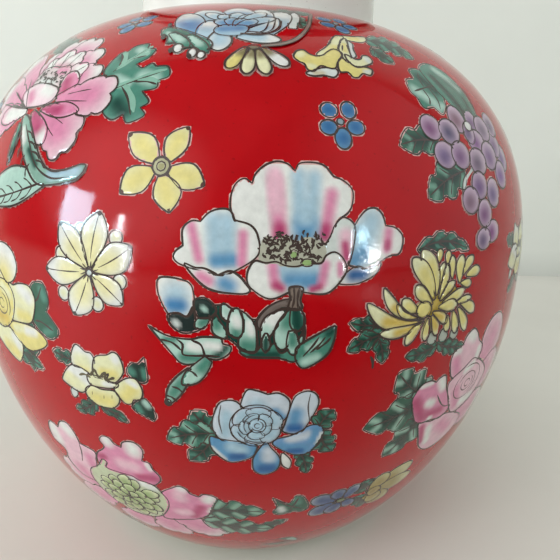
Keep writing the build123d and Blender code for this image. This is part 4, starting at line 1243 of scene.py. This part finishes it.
def paint_lid():
    paint("crown_star", star_flower, 0, 0, "yellow_enamel", crown=True, size=1.2, surface=LID)
    for number, (draw, size, slot, swap) in enumerate(CROWN_RING):
        angle = CROWN_START + 360 * number / len(CROWN_RING)
        paint(f"crown_flower_{number + 1}", draw, angle, CROWN_REACH, slot, crown=True, size=size,
            swap=swap, surface=LID)
        paint(f"crown_sprig_{number + 1}", sprig, angle + 30, 0.75 * CROWN_REACH, "green_enamel",
            crown=True, surface=LID, turn=35 * (-1) ** number)
    for number in range(SKIRT_FLOWERS):
        angle = 360 * number / SKIRT_FLOWERS
        paint(f"skirt_flower_{number + 1}", small_blue, angle, SKIRT_LEVEL, "blue_enamel", size=0.72,
            surface=LID)
        paint(f"skirt_sprig_{number + 1}", sprig, angle + 180 / SKIRT_FLOWERS, SKIRT_LEVEL, "green_enamel",
            size=0.8, turn=80, surface=LID)


paint_lid()


# ---------------------------------------------------------------------------------------------
# Stage, light and camera
# ---------------------------------------------------------------------------------------------
def flat_material(name, colour, rough, scale, foot=1.0):
    """A plain matt surface, with painted shade in its first centimetres above y = 0: darkened there by the
    factor foot.
    """
    n = Nodes(name)
    shade = n.mix(n.ramp(n.noise(scale, 4), 0, 1), linear(*colour), linear(*[v - 6 for v in colour]))
    height = n.add("SeparateXYZ", i0=n.add("TexCoord").outputs["Object"]).outputs[1]
    # Painted shade: darker towards y = 0 by the factor foot, fading out over the first 3 cm.
    painted_foot_shade = n.ramp(height, foot, 1, 0, 0.03)
    shade = n.mix(1.0, shade, n.add("CombineColor", i0=painted_foot_shade, i1=painted_foot_shade, i2=painted_foot_shade).outputs[0], "MULTIPLY")
    n.bump(n.noise(scale * 12, 3), 0.0004, 0.3)
    return n.set(Base_Color=shade, Roughness=rough)


def plane(name, size, place, turn, material):
    mesh = bpy.data.meshes.new(name)
    half = size / 2
    mesh.from_pydata([(-half, -half, 0), (half, -half, 0), (half, half, 0), (-half, half, 0)], [],
        [(0, 1, 2, 3)])
    mesh.materials.append(material)
    piece = bpy.data.objects.new(name, mesh)
    piece.location, piece.rotation_euler = place, turn
    bpy.context.scene.collection.objects.link(piece)
    return piece


STAGE_SIZE = 4.0
WALL_PLACE, UPRIGHT = (0, 0.33, 0), (math.radians(90), 0, 0)
plane("table_top", STAGE_SIZE, (0, 0, -0.0002), (0, 0, 0), flat_material("table", (218, 217, 208), 0.6, 8))
# The wall's foot factor 0.82 paints the shade where the wall meets the table.
plane("wall", STAGE_SIZE, WALL_PLACE, UPRIGHT, flat_material("wall", (228, 232, 224), 0.8, 5, 0.82))


CARD_REACH = 0.36
CARD_PLACE = (0.04, -0.455, 0.0006)


def shade_card():
    """A dark patch with soft edges on the table before the jar, seen only by its reflection."""
    n = Nodes("shade_card")
    centred = n.add("TexCoord").outputs["Object"]
    scaled = n.add("Mapping", Vector=centred, i3=(1 / CARD_REACH, 1 / CARD_REACH, 1)).outputs[0]
    fade = n.add("TexGradient", gradient_type="SPHERICAL", Vector=scaled).outputs[1]
    n.set(Base_Color=linear(24, 22, 22), Roughness=0.9, Alpha=n.ramp(fade, 0, 0.95, 0, 0.4))
    card = plane("shade_card", 2 * CARD_REACH, CARD_PLACE, (0, 0, 0), n.material)
    card.visible_camera = card.visible_diffuse = card.visible_shadow = False


shade_card()


def area_light(name, place, target, size, power, colour, mirrored=False):
    """A lamp that either lights the surfaces or, when mirrored, only shows in the glaze."""
    light = bpy.data.lights.new(name, "AREA")
    light.shape, light.size, light.size_y = "RECTANGLE", size[0], size[1]
    light.energy, light.color = power, colour
    lamp = bpy.data.objects.new(name, light)
    lamp.location = place
    lamp.visible_glossy, lamp.visible_diffuse = mirrored, not mirrored
    lamp.rotation_euler = (Vector(target) - Vector(place)).to_track_quat("-Z", "Y").to_euler()
    bpy.context.scene.collection.objects.link(lamp)


COOL_LIGHT, STRIP_LIGHT = (0.5, 0.82, 1.0), (0.9, 0.94, 1.0)
SKY_LIGHT, PLAIN_LIGHT = (0.95, 0.96, 1.0), (1.0, 1.0, 1.0)
FRONT_LEFT, FRONT_RIGHT = (-0.03, -0.09, 0.122), (0.026, -0.09, 0.124)
JAR_MIDDLE, JAR_LOW = (0, 0, 0.1), (0, 0, 0.08)

# Each lamp is (name, place, target, size, power, colour).
MIRRORED_LAMPS = (
    ("window", (-1.14, -0.51, 0.36), (-0.04, -0.085, 0.13), (0.27, 0.27), 7.0, COOL_LIGHT),
    ("left_strip", (-0.79, -0.73, 0.3), FRONT_LEFT, (0.04, 0.12), 0.9, STRIP_LIGHT),
    ("left_low_strip", (-0.74, -0.80, 0.105), FRONT_LEFT, (0.03, 0.16), 0.6, STRIP_LIGHT),
    ("right_strip", (0.73, -0.80, 0.14), FRONT_RIGHT, (0.05, 0.13), 1.4, STRIP_LIGHT),
    ("right_high_strip", (0.67, -0.84, 0.29), FRONT_RIGHT, (0.03, 0.1), 0.6, COOL_LIGHT),
)
LAMPS = (
    ("left", (-1.14, -0.61, 0.35), JAR_LOW, (0.5, 0.5), 6.2, SKY_LIGHT),
    ("ceiling", (-0.55, -0.8, 1.35), JAR_MIDDLE, (1.2, 1.2), 13, PLAIN_LIGHT),
    ("front", (-0.7, -1.1, 0.8), JAR_MIDDLE, (1.0, 1.0), 1.0, PLAIN_LIGHT),
    ("right", (1.3, -0.5, 0.7), JAR_MIDDLE, (1.0, 1.0), 0.9, PLAIN_LIGHT),
    ("wall_right", (1.3, -0.4, 0.9), (1.1, 0.33, 0.2), (0.6, 0.6), 5.0, PLAIN_LIGHT),
    ("wall_left", (-1.3, -0.4, 0.9), (-1.1, 0.33, 0.2), (0.6, 0.6), 1.5, PLAIN_LIGHT),
)
for lamp in MIRRORED_LAMPS:
    area_light(*lamp, mirrored=True)
for lamp in LAMPS:
    area_light(*lamp)

DAYLIGHT = 0.30  # strength of the even light from all round
BACKDROP = 0.8  # the same as the camera sees it
GLOWS = (((-0.75, -0.55, 0.40), 0.80, 0.98, 2.2), ((0.86, -0.30, 0.40), 0.60, 0.98, 0.9))


def studio_world():
    """Even light, with soft bright patches that only the glaze mirrors.

    Each glow is (direction, cosine at its edge, cosine at its full part, strength)."""
    world = bpy.data.worlds.new("studio")
    bpy.context.scene.world = world
    world.use_nodes = True
    nodes, links = world.node_tree.nodes, world.node_tree.links

    def math_node(operation, a, b):
        node = nodes.new("ShaderNodeMath")
        node.operation = operation
        for socket, value in zip(node.inputs, (a, b)):
            if isinstance(value, bpy.types.NodeSocket):
                links.new(value, socket)
            else:
                socket.default_value = value
        return node.outputs[0]

    looking = nodes.new("ShaderNodeTexCoord").outputs["Generated"]
    path = nodes.new("ShaderNodeLightPath").outputs
    strength = math_node("MULTIPLY_ADD", path["Is Camera Ray"], BACKDROP - DAYLIGHT)
    strength.node.inputs[2].default_value = DAYLIGHT
    for direction, edge, full, amount in GLOWS:
        towards = nodes.new("ShaderNodeVectorMath")
        towards.operation = "DOT_PRODUCT"
        links.new(looking, towards.inputs[0])
        towards.inputs[1].default_value = Vector(direction).normalized()
        fade = nodes.new("ShaderNodeMapRange")
        fade.interpolation_type = "SMOOTHSTEP"
        links.new(towards.outputs["Value"], fade.inputs[0])
        for socket, value in zip(fade.inputs[1:5], (edge, full, 0, amount)):
            socket.default_value = value
        strength = math_node("ADD", strength, math_node("MULTIPLY", fade.outputs[0], path["Is Glossy Ray"]))
    background = nodes["Background"]
    background.inputs[0].default_value = (*linear(222, 226, 226), 1)
    links.new(strength, background.inputs[1])


studio_world()

# The view: close, from a little above the belly, with a slight tilt.
VIEW_DISTANCE = 2.0345 * BELLY_RADIUS * MM
VIEW_HEIGHT = (BELLY_LEVEL + 0.4983 * BELLY_RADIUS) * MM
VIEW_TURN, VIEW_DIP, VIEW_ROLL = math.radians(3.227), math.radians(16.909), math.radians(2.346)
SENSOR, FOCAL = 36.0, 32.14

camera_data = bpy.data.cameras.new("view")
camera_data.sensor_width, camera_data.lens = SENSOR, FOCAL
camera_data.clip_start = 0.01
camera = bpy.data.objects.new("view", camera_data)
forward = Vector((math.cos(VIEW_DIP) * math.sin(VIEW_TURN), math.cos(VIEW_DIP) * math.cos(VIEW_TURN),
    -math.sin(VIEW_DIP)))
right = forward.cross(Vector((0, 0, 1))).normalized()
above = right.cross(forward)
right, above = (math.cos(VIEW_ROLL) * right + math.sin(VIEW_ROLL) * above,
                math.cos(VIEW_ROLL) * above - math.sin(VIEW_ROLL) * right)
turn = Matrix((right, above, -forward)).transposed()
camera.matrix_world = Matrix.Translation((0, -VIEW_DISTANCE, VIEW_HEIGHT)) @ turn.to_4x4()
bpy.context.scene.collection.objects.link(camera)
bpy.context.scene.camera = camera
bpy.context.scene.view_settings.view_transform = "Standard"
